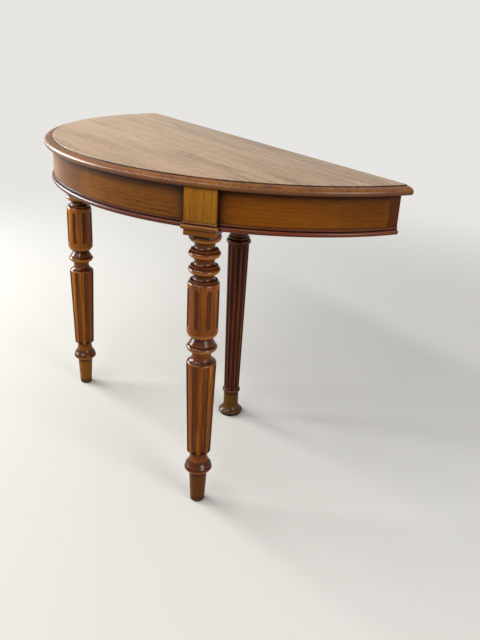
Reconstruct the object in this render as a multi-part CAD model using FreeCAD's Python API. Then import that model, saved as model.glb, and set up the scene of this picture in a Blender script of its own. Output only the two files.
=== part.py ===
import FreeCAD, Part
import math
import os
from FreeCAD import Vector

# Half-moon table on three turned legs. Millimetres and degrees, +Z up.
# The origin is on the floor, under the middle of the top: the curved front faces -Y,
# the straight back edge is at +Y. Every turned or curved rail piece follows one upright
# axis, the axis of the front arc.

# Overall sizes
table_height = 750.0
top_radius = 550.0
arc_centre_behind_back = 50.0

# Top of equally wide boards, with a stepped, rounded edge along the curve
top_thickness = 18.0
top_board_names = ("top_back_board", "top_middle_board", "top_front_board")
rim_step_inset = 19.0
rim_step_drop = 2.0
rim_round_height = 8.5
rim_under_radius = 5.5

# Curved apron and straight back rail
apron_overhang = 18.0
apron_thickness = 22.0
apron_height = 82.0
rail_thickness = 25.0
rail_inset = 12.0

# Bead strip along the lower edge of the apron and round the leg blocks
bead_height = 10.5
bead_projection = 5.0
bead_seat_depth = 5.0
bead_quirk_width = 1.0
bead_fillet_height = 4.5
bead_fillet_projection = 1.2

# Leg blocks, square in plan, that face outwards from the arc's centre
leg_angle = 40.4
block_width = 65.0
block_drop = 12.0
facing_thickness = 6.5
facing_proud = 12.0

# Joints in the frame
tenon_thickness = 9.0
tenon_length = 18.0
tenon_shoulder = 20.0
rail_tenon_length = 14.0
joint_clearance = 0.2

# Turned front legs, named from the block down
disc_radius = 33.0
disc_edge_radius = 29.0
disc_height = 18.5
neck_radius = 20.5
neck_end_radius = 24.0
neck_height = 15.0
lip_radius = 28.0
lip_height = 2.0
ring_radius = 33.0
ring_seat_radius = 24.8
ring_upper_height = 6.5
ring_lower_height = 10.0
upper_ring_count = 2
drum_neck_height = 12.5
drum_lip_radius = 28.5
drum_lip_height = 2.0
drum_seat_radius = 27.0
drum_radius = 33.0
drum_shoulder_height = 7.0
drum_length = 105.0
drum_foot_height = 15.0
drum_cone_height = 11.8
shaft_neck_height = 22.0
shaft_top_radius = 32.2
shaft_foot_radius = 26.2
shaft_shoulder_height = 6.0
shoulder_share = 0.25
ankle_neck_height = 34.5
low_lip_radius = 28.5
low_ring_seat_radius = 27.0
low_ring_radius = 31.0
low_ring_upper_height = 9.0
low_ring_lower_height = 8.0
ankle_radius = 20.0
ankle_height = 8.0
foot_length = 73.0
foot_radius = 16.3
foot_round = 3.0

# Flutes of the front legs
flute_count = 8
flute_turn = -6.0
drum_flute_radius = 5.0
drum_flute_depth = 3.2
drum_flute_margin = 11.5
drum_flute_foot_margin = 16.5
shaft_flute_radius = 7.0
shaft_flute_depth = 3.8
shaft_flute_margin = 4.5

# Back leg, beside the cross bearer and let into the back rail
back_block_height = 145.0
back_block_housing = 16.0
back_collar_height = 15.0
back_neck_radius = 22.0
back_neck_height = 52.0
back_bead_radius = 28.0
back_bead_height = 8.0
back_ring_radius = 32.0
back_ring_height = 11.0
back_shaft_top_radius = 27.5
back_shaft_foot_radius = 21.0
ankle_ring_radius = 24.6
ankle_ring_height = 11.0
shank_radius = 20.5
shank_height = 38.0
flare_middle_radius = 23.5
flare_height = 17.0
flange_edge_radius = 31.0
flange_radius = 33.0
flange_height = 9.0
sole_edge_radius = 30.5
sole_radius = 29.0
sole_height = 4.0
back_flute_count = 12
back_flute_radius = 4.2
back_flute_depth = 2.4
back_flute_margin = 8.0

# Hidden frame pieces; the bearer stands left of the middle, so that the back leg is nearer to it
bearer_x = -11.5
bearer_thickness = 30.0
bearer_height = 60.0
bearer_tenon_thickness = 12.0
bearer_tenon_height = 30.0
bearer_tenon_length = 12.0
glue_block_size = 20.0
glue_block_length = 42.0
glue_block_count = 2
corner_block_leg = 62.0
corner_block_height = 58.0

# Wood screws
screw_radius = 2.2
screw_head_radius = 4.6
screw_head_height = 2.8
screw_clearance = 0.15
top_screw_length = 30.0
top_screw_bite = 11.0
rail_screw_end = 150.0
rail_screw_middle = 160.0
bearer_screw_front = 120.0
bearer_screw_spacing = 180.0
leg_screw_length = 62.0
leg_screw_spacing = 24.0

# Sizes that follow from the ones above
top_depth = top_radius - arc_centre_behind_back
back_y = top_depth / 2
arc_y = back_y + arc_centre_behind_back
under_top = table_height - top_thickness
apron_low = under_top - apron_height
apron_radius = top_radius - apron_overhang
apron_inner_radius = apron_radius - apron_thickness
rail_back = back_y - rail_inset
rail_front = rail_back - rail_thickness
strip_height = bead_height + bead_quirk_width + bead_fillet_height
block_half = block_width / 2
block_low = apron_low - block_drop
facing_front = apron_radius + facing_proud
block_front = facing_front - facing_thickness
leg_axis_radius = block_front - block_half
corner_y = arc_y - math.sqrt(apron_radius ** 2 - block_half ** 2)
bearer_half = bearer_thickness / 2
back_leg_x = bearer_x + bearer_half + block_half
back_leg_y = rail_front + back_block_housing - block_half
reach = 2 * top_radius
upright = Vector(0, 0, 1)


def slab(x0, x1, y0, y1, z0, z1):
    """Box between two opposite corners."""
    return Part.makeBox(x1 - x0, y1 - y0, z1 - z0, Vector(x0, y0, z0))


def arc_cylinder(radius, z0, z1):
    """Upright cylinder about the axis of the front arc."""
    return Part.makeCylinder(radius, z1 - z0, Vector(0, arc_y, z0))


def at_leg(shape, side):
    """Turn a piece drawn at the middle of the front round to the right (1) or left (-1) leg."""
    turned = shape.copy()
    turned.rotate(Vector(0, arc_y, 0), upright, side * leg_angle)
    return turned


def front_slab(across0, across1, near, far, z0, z1):
    """Box at the middle of the front, between two distances from the arc's centre."""
    return slab(across0, across1, arc_y - far, arc_y - near, z0, z1)


def line(start, end):
    """Straight edge."""
    return Part.LineSegment(start, end).toShape()


def bow(start, middle, end):
    """Round edge through three points."""
    return Part.Arc(start, middle, end).toShape()


def spun(edges, x, y):
    """Solid of revolution of a closed outline, drawn in the plane y = 0, about an upright axis."""
    face = Part.Face(Part.Wire(edges))
    solid = face.revolve(Vector(0, 0, 0), upright, 360)
    solid.translate(Vector(x, y, 0))
    return solid


class Turning:
    """Outline of a turned piece, followed from its upper end down to the lathe centre below."""

    def __init__(self, radius, height):
        self.start = Vector(0, 0, height)
        self.at = Vector(radius, 0, height)
        self.edges = [line(self.start, self.at)]

    def straight(self, radius, drop):
        """Cone, cylinder or, with no drop, a flat shoulder."""
        end = Vector(radius, 0, self.at.z - drop)
        self.edges.append(line(self.at, end))
        self.at = end

    def curved(self, middle_radius, end_radius, drop):
        """Ring or hollow through its middle radius."""
        middle = Vector(middle_radius, 0, self.at.z - drop / 2)
        end = Vector(end_radius, 0, self.at.z - drop)
        self.edges.append(bow(self.at, middle, end))
        self.at = end

    def ring(self):
        """Lip, quirk and ring, as they repeat down the front leg."""
        self.straight(lip_radius, lip_height)
        self.straight(ring_seat_radius, 0)
        self.bulge(ring_seat_radius, ring_radius, neck_end_radius, ring_upper_height, ring_lower_height)

    def bulge(self, small, large, end, upper, lower):
        """Rounded swelling from a small radius out to a large one and in again to its end."""
        self.curved(shoulder_middle(small, large), large, upper)
        self.curved(shoulder_middle(end, large), end, lower)

    def solid(self):
        """Turned solid about the upright axis through the origin."""
        foot = Vector(0, 0, self.at.z)
        self.edges.append(line(self.at, foot))
        self.edges.append(line(foot, self.start))
        return spun(self.edges, 0, 0)


def flute(top_radius_here, top_z, low_radius_here, low_z, cutter_radius, depth, round_foot):
    """Round-nosed cutter that lies along a shaft's surface on its -Y side."""
    out = cutter_radius - depth
    top = Vector(0, -(top_radius_here + out), top_z)
    low = Vector(0, -(low_radius_here + out), low_z)
    run = low - top
    cutter = Part.makeCylinder(cutter_radius, run.Length, top, run)
    cutter = cutter.fuse(Part.makeSphere(cutter_radius, top))
    if round_foot:
        cutter = cutter.fuse(Part.makeSphere(cutter_radius, low))
    return cutter


def cut_flutes(leg, cutter, count, turn):
    """Cut equally spaced flutes round an upright leg at the origin."""
    cutters = []
    for index in range(count):
        one = cutter.copy()
        one.rotate(Vector(0, 0, 0), upright, turn + index * 360 / count)
        cutters.append(one)
    return leg.cut(cutters)


def shoulder_middle(small, large):
    """Radius at mid height of a rounded shoulder between two radii."""
    return large - shoulder_share * (large - small)


def front_leg_turning():
    """Turned part of a front leg with its flutes, axis at the origin."""
    turning = Turning(disc_edge_radius, block_low)
    turning.curved(disc_radius, neck_end_radius, disc_height)
    for _ in range(upper_ring_count):
        turning.curved(neck_radius, lip_radius, neck_height)
        turning.ring()
    turning.curved(neck_radius, drum_lip_radius, drum_neck_height)
    turning.straight(drum_lip_radius, drum_lip_height)
    turning.straight(drum_seat_radius, 0)
    turning.curved(shoulder_middle(drum_seat_radius, drum_radius), drum_radius, drum_shoulder_height)
    drum_top = turning.at.z
    turning.straight(drum_radius, drum_length)
    drum_low = turning.at.z
    turning.curved(shoulder_middle(neck_radius, drum_radius), neck_radius, drum_foot_height)
    turning.straight(lip_radius, drum_cone_height)
    turning.ring()
    turning.curved(neck_radius, lip_radius, shaft_neck_height)
    turning.curved(shoulder_middle(lip_radius, shaft_top_radius), shaft_top_radius, shaft_shoulder_height)
    shaft_top = turning.at.z
    low_ring_height = low_ring_upper_height + low_ring_lower_height
    below_shaft = ankle_neck_height + lip_height + low_ring_height + ankle_height + foot_length
    turning.straight(shaft_foot_radius, shaft_top - below_shaft)
    shaft_low = turning.at.z
    turning.straight(neck_radius, 0)
    turning.curved(ankle_radius, low_lip_radius, ankle_neck_height)
    turning.straight(low_lip_radius, lip_height)
    turning.straight(low_ring_seat_radius, 0)
    turning.bulge(low_ring_seat_radius, low_ring_radius, ankle_radius,
                  low_ring_upper_height, low_ring_lower_height)
    turning.straight(ankle_radius, ankle_height)
    turning.straight(foot_radius, foot_length - foot_round)
    turning.straight(foot_radius - foot_round, foot_round)
    drum_flute = flute(drum_radius, drum_top - drum_flute_margin,
                       drum_radius, drum_low + drum_flute_foot_margin,
                       drum_flute_radius, drum_flute_depth, True)
    taper = (shaft_top_radius - shaft_foot_radius) / (shaft_top - shaft_low)
    flute_top = shaft_top - shaft_flute_margin
    shaft_flute = flute(shaft_top_radius - taper * shaft_flute_margin, flute_top,
                        shaft_foot_radius, shaft_low,
                        shaft_flute_radius, shaft_flute_depth, False)
    leg = cut_flutes(turning.solid(), drum_flute, flute_count, flute_turn)
    return cut_flutes(leg, shaft_flute, flute_count, flute_turn)


def back_leg_turning():
    """Turned part of the back leg with its flutes, axis at the origin."""
    turning = Turning(disc_edge_radius, under_top - back_block_height)
    turning.curved(disc_radius, neck_end_radius, back_collar_height)
    turning.curved(back_neck_radius, neck_end_radius, back_neck_height)
    turning.curved(back_bead_radius, neck_end_radius, back_bead_height)
    turning.curved(back_ring_radius, neck_end_radius, back_ring_height)
    turning.straight(back_shaft_top_radius, 0)
    shaft_top = turning.at.z
    below_shaft = ankle_ring_height + shank_height + flare_height + flange_height + sole_height
    turning.straight(back_shaft_foot_radius, shaft_top - below_shaft)
    shaft_low = turning.at.z
    turning.curved(ankle_ring_radius, shank_radius, ankle_ring_height)
    turning.straight(shank_radius, shank_height)
    turning.curved(flare_middle_radius, flange_edge_radius, flare_height)
    turning.curved(flange_radius, sole_edge_radius, flange_height)
    turning.straight(sole_radius, sole_height)
    taper = (back_shaft_top_radius - back_shaft_foot_radius) / (shaft_top - shaft_low)
    inset = taper * back_flute_margin
    cutter = flute(back_shaft_top_radius - inset, shaft_top - back_flute_margin,
                   back_shaft_foot_radius + inset, shaft_low + back_flute_margin,
                   back_flute_radius, back_flute_depth, True)
    return cut_flutes(turning.solid(), cutter, back_flute_count, 0)


def top_boards():
    """Three edge-glued boards of the half-moon top."""
    rim_low = under_top + rim_under_radius
    round_low = table_height - rim_step_drop - rim_round_height
    step_radius = top_radius - rim_step_inset
    bend = rim_under_radius * (1 - math.cos(math.pi / 4))
    under_end = Vector(top_radius - rim_under_radius, 0, under_top)
    nose_low = Vector(top_radius, 0, rim_low)
    nose_top = Vector(top_radius, 0, round_low)
    step_low = Vector(step_radius, 0, table_height - rim_step_drop)
    step_top = Vector(step_radius, 0, table_height)
    under_middle = Vector(top_radius - bend, 0, under_top + bend)
    oval = Part.Ellipse(nose_top, step_low, Vector(step_radius, 0, round_low))
    rounded = Part.ArcOfEllipse(oval, 0, math.pi / 2).toShape()
    axis_low = Vector(0, 0, under_top)
    axis_top = Vector(0, 0, table_height)
    outline = [line(axis_low, under_end), bow(under_end, under_middle, nose_low), line(nose_low, nose_top),
               rounded, line(step_low, step_top), line(step_top, axis_top), line(axis_top, axis_low)]
    disc = spun(outline, 0, arc_y)
    width = top_depth / len(top_board_names)
    boards = {}
    for index, name in enumerate(top_board_names):
        board_back = back_y - index * width
        boards[name] = disc.common(slab(-reach, reach, board_back - width, board_back, 0, reach))
    return boards


def strip_section(surface):
    """Closed outline of the bead strip; surface is the distance of the face that it is let into."""
    seat = surface - bead_seat_depth
    core = surface + bead_projection - bead_height / 2
    fillet_face = surface + bead_fillet_projection
    bead_top = apron_low + bead_height
    fillet_low = bead_top + bead_quirk_width
    strip_top = apron_low + strip_height
    nose = Vector(surface + bead_projection, 0, apron_low + bead_height / 2)
    points = [Vector(core, 0, bead_top), Vector(core, 0, fillet_low), Vector(fillet_face, 0, fillet_low),
              Vector(fillet_face, 0, strip_top), Vector(seat, 0, strip_top), Vector(seat, 0, apron_low),
              Vector(core, 0, apron_low)]
    edges = [line(start, end) for start, end in zip(points, points[1:])]
    edges.append(bow(points[-1], nose, points[0]))
    return edges


def seat_section(surface):
    """Closed outline of the rebate that the bead strip is let into."""
    corners = [Vector(distance, 0, height) for distance, height in (
        (surface - bead_seat_depth, apron_low), (surface + bead_projection, apron_low),
        (surface + bead_projection, apron_low + strip_height),
        (surface - bead_seat_depth, apron_low + strip_height))]
    return [line(start, end) for start, end in zip(corners, corners[1:] + corners[:1])]


def straight_strip(section, length):
    """Length of a strip along Y, moulded towards +X, middle at the origin."""
    face = Part.Face(Part.Wire(section))
    strip = face.extrude(Vector(0, length, 0))
    strip.translate(Vector(0, -length / 2, 0))
    return strip


def plan_prism(points):
    """Upright prism over a plan outline, taller than the table."""
    corners = [Vector(x, y, 0) for x, y in points]
    wire = Part.makePolygon(corners + corners[:1])
    return Part.Face(wire).extrude(Vector(0, 0, reach))


def block_strips(section):
    """Strips round one leg block at the middle of the front: front, and the two mitred returns."""
    length = 2 * facing_front
    front = straight_strip(section(facing_front), length)
    front.rotate(Vector(0, 0, 0), upright, -90)
    front.translate(Vector(0, arc_y, 0))
    apex_y = arc_y - facing_front + block_half
    mitre = plan_prism([(0, apex_y), (-block_width, apex_y - block_width),
                        (block_width, apex_y - block_width)])
    right = straight_strip(section(block_half), length)
    right.translate(Vector(0, arc_y - facing_front, 0))
    behind = plan_prism([(0, apex_y), (block_width, apex_y - block_width),
                         (block_width, corner_y - block_half),
                         (block_half - bead_seat_depth, corner_y + bead_seat_depth)])
    right = right.common(behind)
    left = right.mirror(Vector(0, 0, 0), Vector(1, 0, 0))
    return {"front": front.common(mitre), "right": right, "left": left}


def inner_mitres(side):
    """Wedges between a block's sides and the mitres where the apron's bead strips end."""
    outward = corner_y - block_half
    right = plan_prism([(block_half, corner_y), (block_width, outward), (block_half, outward)])
    left = right.mirror(Vector(0, 0, 0), Vector(1, 0, 0))
    return [at_leg(right, side), at_leg(left, side)]


def tenon_box(edge, spare):
    """Tenon of a curved apron in a block's side, at the middle of the front; edge is 1 or -1."""
    middle_radius = apron_radius - apron_thickness / 2
    middle = math.sqrt(middle_radius ** 2 - block_half ** 2)
    half = tenon_thickness / 2 + spare
    inner = edge * (block_half - tenon_length - spare)
    outer = edge * block_half
    return front_slab(min(inner, outer), max(inner, outer), middle - half, middle + half,
                      apron_low + tenon_shoulder - spare, under_top - tenon_shoulder + spare)


def rail_tenon(side, spare):
    """Tenon of a side apron in the back rail."""
    middle_radius = apron_radius - apron_thickness / 2
    middle = side * math.sqrt(middle_radius ** 2 - (arc_y - rail_front) ** 2)
    half = tenon_thickness / 2 + spare
    return slab(middle - half, middle + half, rail_front, rail_front + rail_tenon_length + spare,
                apron_low + tenon_shoulder - spare, under_top - tenon_shoulder + spare)


def bearer_tenon(y0, y1, spare):
    """Stub tenon of the cross bearer, between two depths."""
    half = bearer_tenon_thickness / 2 + spare
    middle = under_top - bearer_height / 2
    rise = bearer_tenon_height / 2 + spare
    return slab(bearer_x - half, bearer_x + half, y0, y1, middle - rise, middle + rise)


def leg_blocks(side):
    """Upright boxes of a leg block and its facing, in place."""
    block = front_slab(-block_half, block_half, leg_axis_radius - block_half, block_front,
                       block_low, under_top)
    facing = front_slab(-block_half, block_half, block_front, facing_front, block_low, under_top)
    return at_leg(block, side), at_leg(facing, side)


def screw(length):
    """Round-headed wood screw: shank up from the origin, head below."""
    head = Part.makeCylinder(screw_head_radius, screw_head_height, Vector(0, 0, -screw_head_height))
    return head.fuse(Part.makeCylinder(screw_radius, length))


def screw_hole(length, counterbore):
    """Space for a screw: clear round its shank, and wide enough for its head below."""
    hole = Part.makeCylinder(screw_radius + screw_clearance, length + screw_clearance)
    if counterbore:
        wide = screw_head_radius + screw_clearance
        hole = hole.fuse(Part.makeCylinder(wide, reach, Vector(0, 0, -reach)))
    return hole


def moved(shape, place):
    """Copy of a piece at another place."""
    copy = shape.copy()
    copy.translate(place)
    return copy


def build():
    """Make every piece of the table in place, by node name."""
    pieces = top_boards()
    seat_z = under_top + top_screw_bite - top_screw_length
    rail_middle = rail_front + rail_thickness / 2
    apron_front = arc_y - apron_inner_radius
    rail_end = math.sqrt(apron_radius ** 2 - (arc_y - rail_middle) ** 2)
    end_screw = rail_end - rail_screw_end
    rail_places = (-end_screw, -rail_screw_middle, rail_screw_middle, end_screw)
    places = [Vector(x, rail_middle, seat_z) for x in rail_places]
    places.append(Vector(bearer_x, apron_front + bearer_screw_front, seat_z))
    places.append(Vector(bearer_x, apron_front + bearer_screw_front + bearer_screw_spacing, seat_z))
    top_holes = [moved(screw_hole(top_screw_length, True), place) for place in places]
    shank_holes = [moved(screw_hole(top_screw_length, False), place) for place in places]
    for name in list(pieces):
        pieces[name] = pieces[name].cut(shank_holes)
    pieces["top_screws"] = Part.makeCompound([moved(screw(top_screw_length), place) for place in places])

    # The bead strips round the blocks, in place
    strips = block_strips(strip_section)
    seats = block_strips(seat_section).values()
    inner = {1: "left", -1: "right"}
    outer = {1: "right", -1: "left"}
    side_name = {1: "right", -1: "left"}
    for side in (1, -1):
        name = side_name[side]
        pieces[name + "_block_bead_front"] = at_leg(strips["front"], side)
        pieces[name + "_block_bead_inner"] = at_leg(strips[inner[side]], side)
        pieces[name + "_block_bead_outer"] = at_leg(strips[outer[side]], side)

    # The curved apron in three lengths, each with a bead strip along its lower edge
    in_front_of_rail = slab(-reach, reach, -reach, rail_front, 0, reach)
    in_front_of_back = slab(-reach, reach, -reach, rail_back, 0, reach)
    boxes = [box for side in (1, -1) for box in leg_blocks(side)]
    bead_ring = spun(strip_section(apron_radius), 0, arc_y)
    bead_rebate = spun(seat_section(apron_radius), 0, arc_y)
    hoop = arc_cylinder(apron_radius, apron_low, under_top).cut(arc_cylinder(apron_inner_radius, 0, reach))
    aprons = hoop.common(in_front_of_rail).cut([bead_rebate] + boxes).Solids
    mitres = inner_mitres(1) + inner_mitres(-1)
    beads = bead_ring.common(in_front_of_back).cut(boxes + mitres).Solids
    for name, found in (("apron", aprons), ("bead", beads)):
        found.sort(key=lambda solid: solid.CenterOfMass.x)
        for place, solid in zip(("left", "centre", "right"), found):
            pieces[name + "_" + place] = solid
    bearer_front_tenon = bearer_tenon(apron_front - bearer_tenon_length, apron_front + bearer_tenon_length, 0)
    front_socket = bearer_tenon(apron_front - bearer_tenon_length - joint_clearance,
                                apron_front + bearer_tenon_length, joint_clearance)
    pieces["apron_centre"] = pieces["apron_centre"].fuse(
        [at_leg(tenon_box(-1, 0), 1), at_leg(tenon_box(1, 0), -1)]).cut(front_socket)
    for side in (1, -1):
        tenons = [at_leg(tenon_box(side, 0), side), rail_tenon(side, 0)]
        pieces["apron_" + side_name[side]] = pieces["apron_" + side_name[side]].fuse(tenons)

    # The straight back rail, its ends shaped to the curve, with a housing for the back leg's block
    rail = slab(-reach, reach, rail_front, rail_back, apron_low, under_top)
    rail = rail.common(arc_cylinder(apron_radius, 0, reach))
    bearer_back_tenon = bearer_tenon(rail_front, rail_front + bearer_tenon_length, 0)
    back_socket = bearer_tenon(rail_front, rail_front + bearer_tenon_length + joint_clearance,
                               joint_clearance)
    housing = slab(back_leg_x - block_half - joint_clearance, back_leg_x + block_half + joint_clearance,
                   rail_front, rail_front + back_block_housing, apron_low, under_top)
    pieces["back_rail"] = rail.cut([bead_rebate, back_socket, housing, rail_tenon(1, joint_clearance),
                                    rail_tenon(-1, joint_clearance)] + top_holes)

    # The cross bearer from front to back, and the screws that hold the back leg to it
    leg_screw_z = under_top - bearer_height / 2 - leg_screw_spacing / 2
    bearer_left = bearer_x - bearer_half
    towards_leg = FreeCAD.Rotation(upright, Vector(1, 0, 0))
    leg_screws = []
    leg_holes = []
    for height in (leg_screw_z, leg_screw_z + leg_screw_spacing):
        place = FreeCAD.Placement(Vector(bearer_left, back_leg_y, height), towards_leg)
        leg_screws.append(screw(leg_screw_length))
        leg_screws[-1].Placement = place
        leg_holes.append(screw_hole(leg_screw_length, False))
        leg_holes[-1].Placement = place
    pieces["back_leg_screws"] = Part.makeCompound(leg_screws)
    bearer = slab(bearer_left, bearer_x + bearer_half, -reach, rail_front,
                  under_top - bearer_height, under_top)
    bearer = bearer.common(arc_cylinder(apron_inner_radius, 0, reach))
    bearer = bearer.fuse([bearer_front_tenon, bearer_back_tenon])
    pieces["cross_bearer"] = bearer.cut(top_holes + leg_holes)

    # The three legs, and the facings on the front blocks
    turned = front_leg_turning()
    for side in (1, -1):
        name = side_name[side]
        block, facing = leg_blocks(side)
        leg = at_leg(moved(turned, Vector(0, arc_y - leg_axis_radius, 0)), side)
        mortises = [at_leg(tenon_box(edge, joint_clearance), side) for edge in (1, -1)]
        around = [at_leg(seat, side) for seat in seats]
        pieces["front_" + name + "_leg"] = block.cut(mortises + around).fuse(leg)
        pieces[name + "_block_facing"] = facing.cut(around)
    back_block = slab(-block_half, block_half, -block_half, block_half,
                      under_top - back_block_height, under_top)
    back_leg = moved(back_block.fuse(back_leg_turning()), Vector(back_leg_x, back_leg_y, 0))
    pieces["back_leg"] = back_leg.cut(leg_holes)

    # Blocks glued into the corners under the top
    inside = arc_cylinder(apron_inner_radius, 0, reach)
    block = front_slab(-glue_block_length / 2, glue_block_length / 2, apron_inner_radius - glue_block_size,
                       apron_inner_radius, under_top - glue_block_size, under_top).common(inside)
    corner_angle = math.degrees(math.acos((arc_y - rail_front + corner_block_leg) / apron_inner_radius))
    glued = []
    ends = (-corner_angle, -leg_angle, 0, leg_angle, corner_angle)
    for start, end in zip(ends, ends[1:]):
        for index in range(glue_block_count):
            one = block.copy()
            share = (index + 1) / (glue_block_count + 1)
            one.rotate(Vector(0, arc_y, 0), upright, start + share * (end - start))
            glued.append(one)
    pieces["glue_blocks"] = Part.makeCompound(glued)
    corner_x = math.sqrt(apron_inner_radius ** 2 - (arc_y - rail_front) ** 2)
    for side in (1, -1):
        wedge = plan_prism([(side * (corner_x - corner_block_leg), rail_front), (side * reach, rail_front),
                            (side * reach, rail_front - corner_block_leg),
                            (side * corner_x, rail_front - corner_block_leg)])
        height = slab(-reach, reach, -reach, reach, under_top - corner_block_height, under_top)
        pieces[side_name[side] + "_corner_block"] = wedge.common(height).common(inside)
    return pieces


os.makedirs("parts", exist_ok=True)
for node, shape in build().items():
    shape.exportStep("parts/" + node + ".step")
    print(node, len(shape.Solids), "solid", round(shape.Volume), "mm3", "valid", shape.isValid())
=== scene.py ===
"""Looks of a half-moon table: a moulded top, a curved apron with bead strips, two turned and fluted
front legs and a slender back leg. Metres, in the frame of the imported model: +Z up, the straight
back edge at +Y, the curved front towards -Y."""

import logging
import math
from contextlib import contextmanager
from dataclasses import dataclass, replace
from enum import Enum
from typing import Callable, Iterator, Sequence, Union

import bmesh
import bpy
from mathutils import Matrix, Vector


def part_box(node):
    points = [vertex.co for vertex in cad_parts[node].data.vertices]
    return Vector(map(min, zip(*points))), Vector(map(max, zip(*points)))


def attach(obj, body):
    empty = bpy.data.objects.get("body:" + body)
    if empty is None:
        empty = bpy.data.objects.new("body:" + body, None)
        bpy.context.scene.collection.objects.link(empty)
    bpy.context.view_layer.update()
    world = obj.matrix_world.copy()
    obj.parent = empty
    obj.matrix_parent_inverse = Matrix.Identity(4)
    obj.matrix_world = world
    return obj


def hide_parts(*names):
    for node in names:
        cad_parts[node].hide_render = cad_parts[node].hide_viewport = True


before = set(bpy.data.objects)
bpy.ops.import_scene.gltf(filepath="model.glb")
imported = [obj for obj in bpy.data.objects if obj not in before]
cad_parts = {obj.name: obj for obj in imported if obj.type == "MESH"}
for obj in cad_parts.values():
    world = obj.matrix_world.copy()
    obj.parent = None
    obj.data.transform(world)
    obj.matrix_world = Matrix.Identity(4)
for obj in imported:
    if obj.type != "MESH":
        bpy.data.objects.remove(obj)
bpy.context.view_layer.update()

BODY = "root"
SEED_PLANE = 0.001
MERGE_DISTANCE = 1e-6
FULL_TURN = 2 * math.pi
HOOP_SWEEP = math.radians(96)
FLAT_ANGLE = math.radians(1)
SHARP_ANGLE = math.radians(40)
SMOOTH_ANGLE = math.radians(32)
ARC_STEPS = 10
LATHE_STEPS = 96
RIM_STEPS = 200
CUTTER_STEPS = 32
ROUNDING_STEPS = 2
SHADE_SAMPLES = 8
SHOULDER_SHARE = 0.25
STRIP_SPARE = 4
BLOCK_EDGES = (1, -1)
DIAGONAL = math.sqrt(0.5)
NOISE_MIDDLE = 0.5
UP = Vector((0, 0, 1))
TO_WALL = Vector((0, 1, 0))
ORIGIN = Vector((0, 0, 0))

Colour = tuple[float, float, float]
Point = tuple[float, float]
log = logging.getLogger("table")


def bow(start: Point, middle: Point, end: Point, steps: int = ARC_STEPS) -> list[Point]:
    """Follow the circle through three points.

    Args:
        start: Where the curve begins.
        middle: A point on the way.
        end: Where the curve ends.
        steps: Straight runs that stand for the curve.

    Returns:
        The points after start, up to and with end.
    """
    (ax, ay), (bx, by), (cx, cy) = start, middle, end
    twice_area = 2 * (ax * (by - cy) + bx * (cy - ay) + cx * (ay - by))
    squares = (ax * ax + ay * ay, bx * bx + by * by, cx * cx + cy * cy)
    ox = (squares[0] * (by - cy) + squares[1] * (cy - ay) + squares[2] * (ay - by)) / twice_area
    oy = (squares[0] * (cx - bx) + squares[1] * (ax - cx) + squares[2] * (bx - ax)) / twice_area
    radius = math.hypot(ax - ox, ay - oy)
    first = math.atan2(ay - oy, ax - ox)
    turn = math.atan2(cy - oy, cx - ox) - first
    through = (math.atan2(by - oy, bx - ox) - first) % FULL_TURN
    turn = turn % FULL_TURN
    if through > turn:
        turn -= FULL_TURN
    angles = [first + turn * step / steps for step in range(1, steps)]
    return [(ox + radius * math.cos(angle), oy + radius * math.sin(angle)) for angle in angles] + [end]


class Side(Enum):
    """The two front legs and what belongs to them."""

    LEFT = -1
    RIGHT = 1

    @property
    def word(self) -> str:
        """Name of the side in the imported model."""
        return self.name.lower()


class Grain(Enum):
    """Which way the fibres run."""

    ALONG_BACK = "along the back edge"
    UPRIGHT = "upright"
    ROUND_FRONT = "round the front arc"


class Way(Enum):
    """Which way painted shade deepens towards an end, by the number of the frame's axis."""

    ALONG_BACK = 0
    TO_WALL = 1


class Reading(Enum):
    """What a material reads of the surface."""

    PLACE = "Object"
    FACING = "Normal"


class Operation(Enum):
    """How one piece changes another."""

    CUT = "DIFFERENCE"
    UNITE = "UNION"


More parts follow.
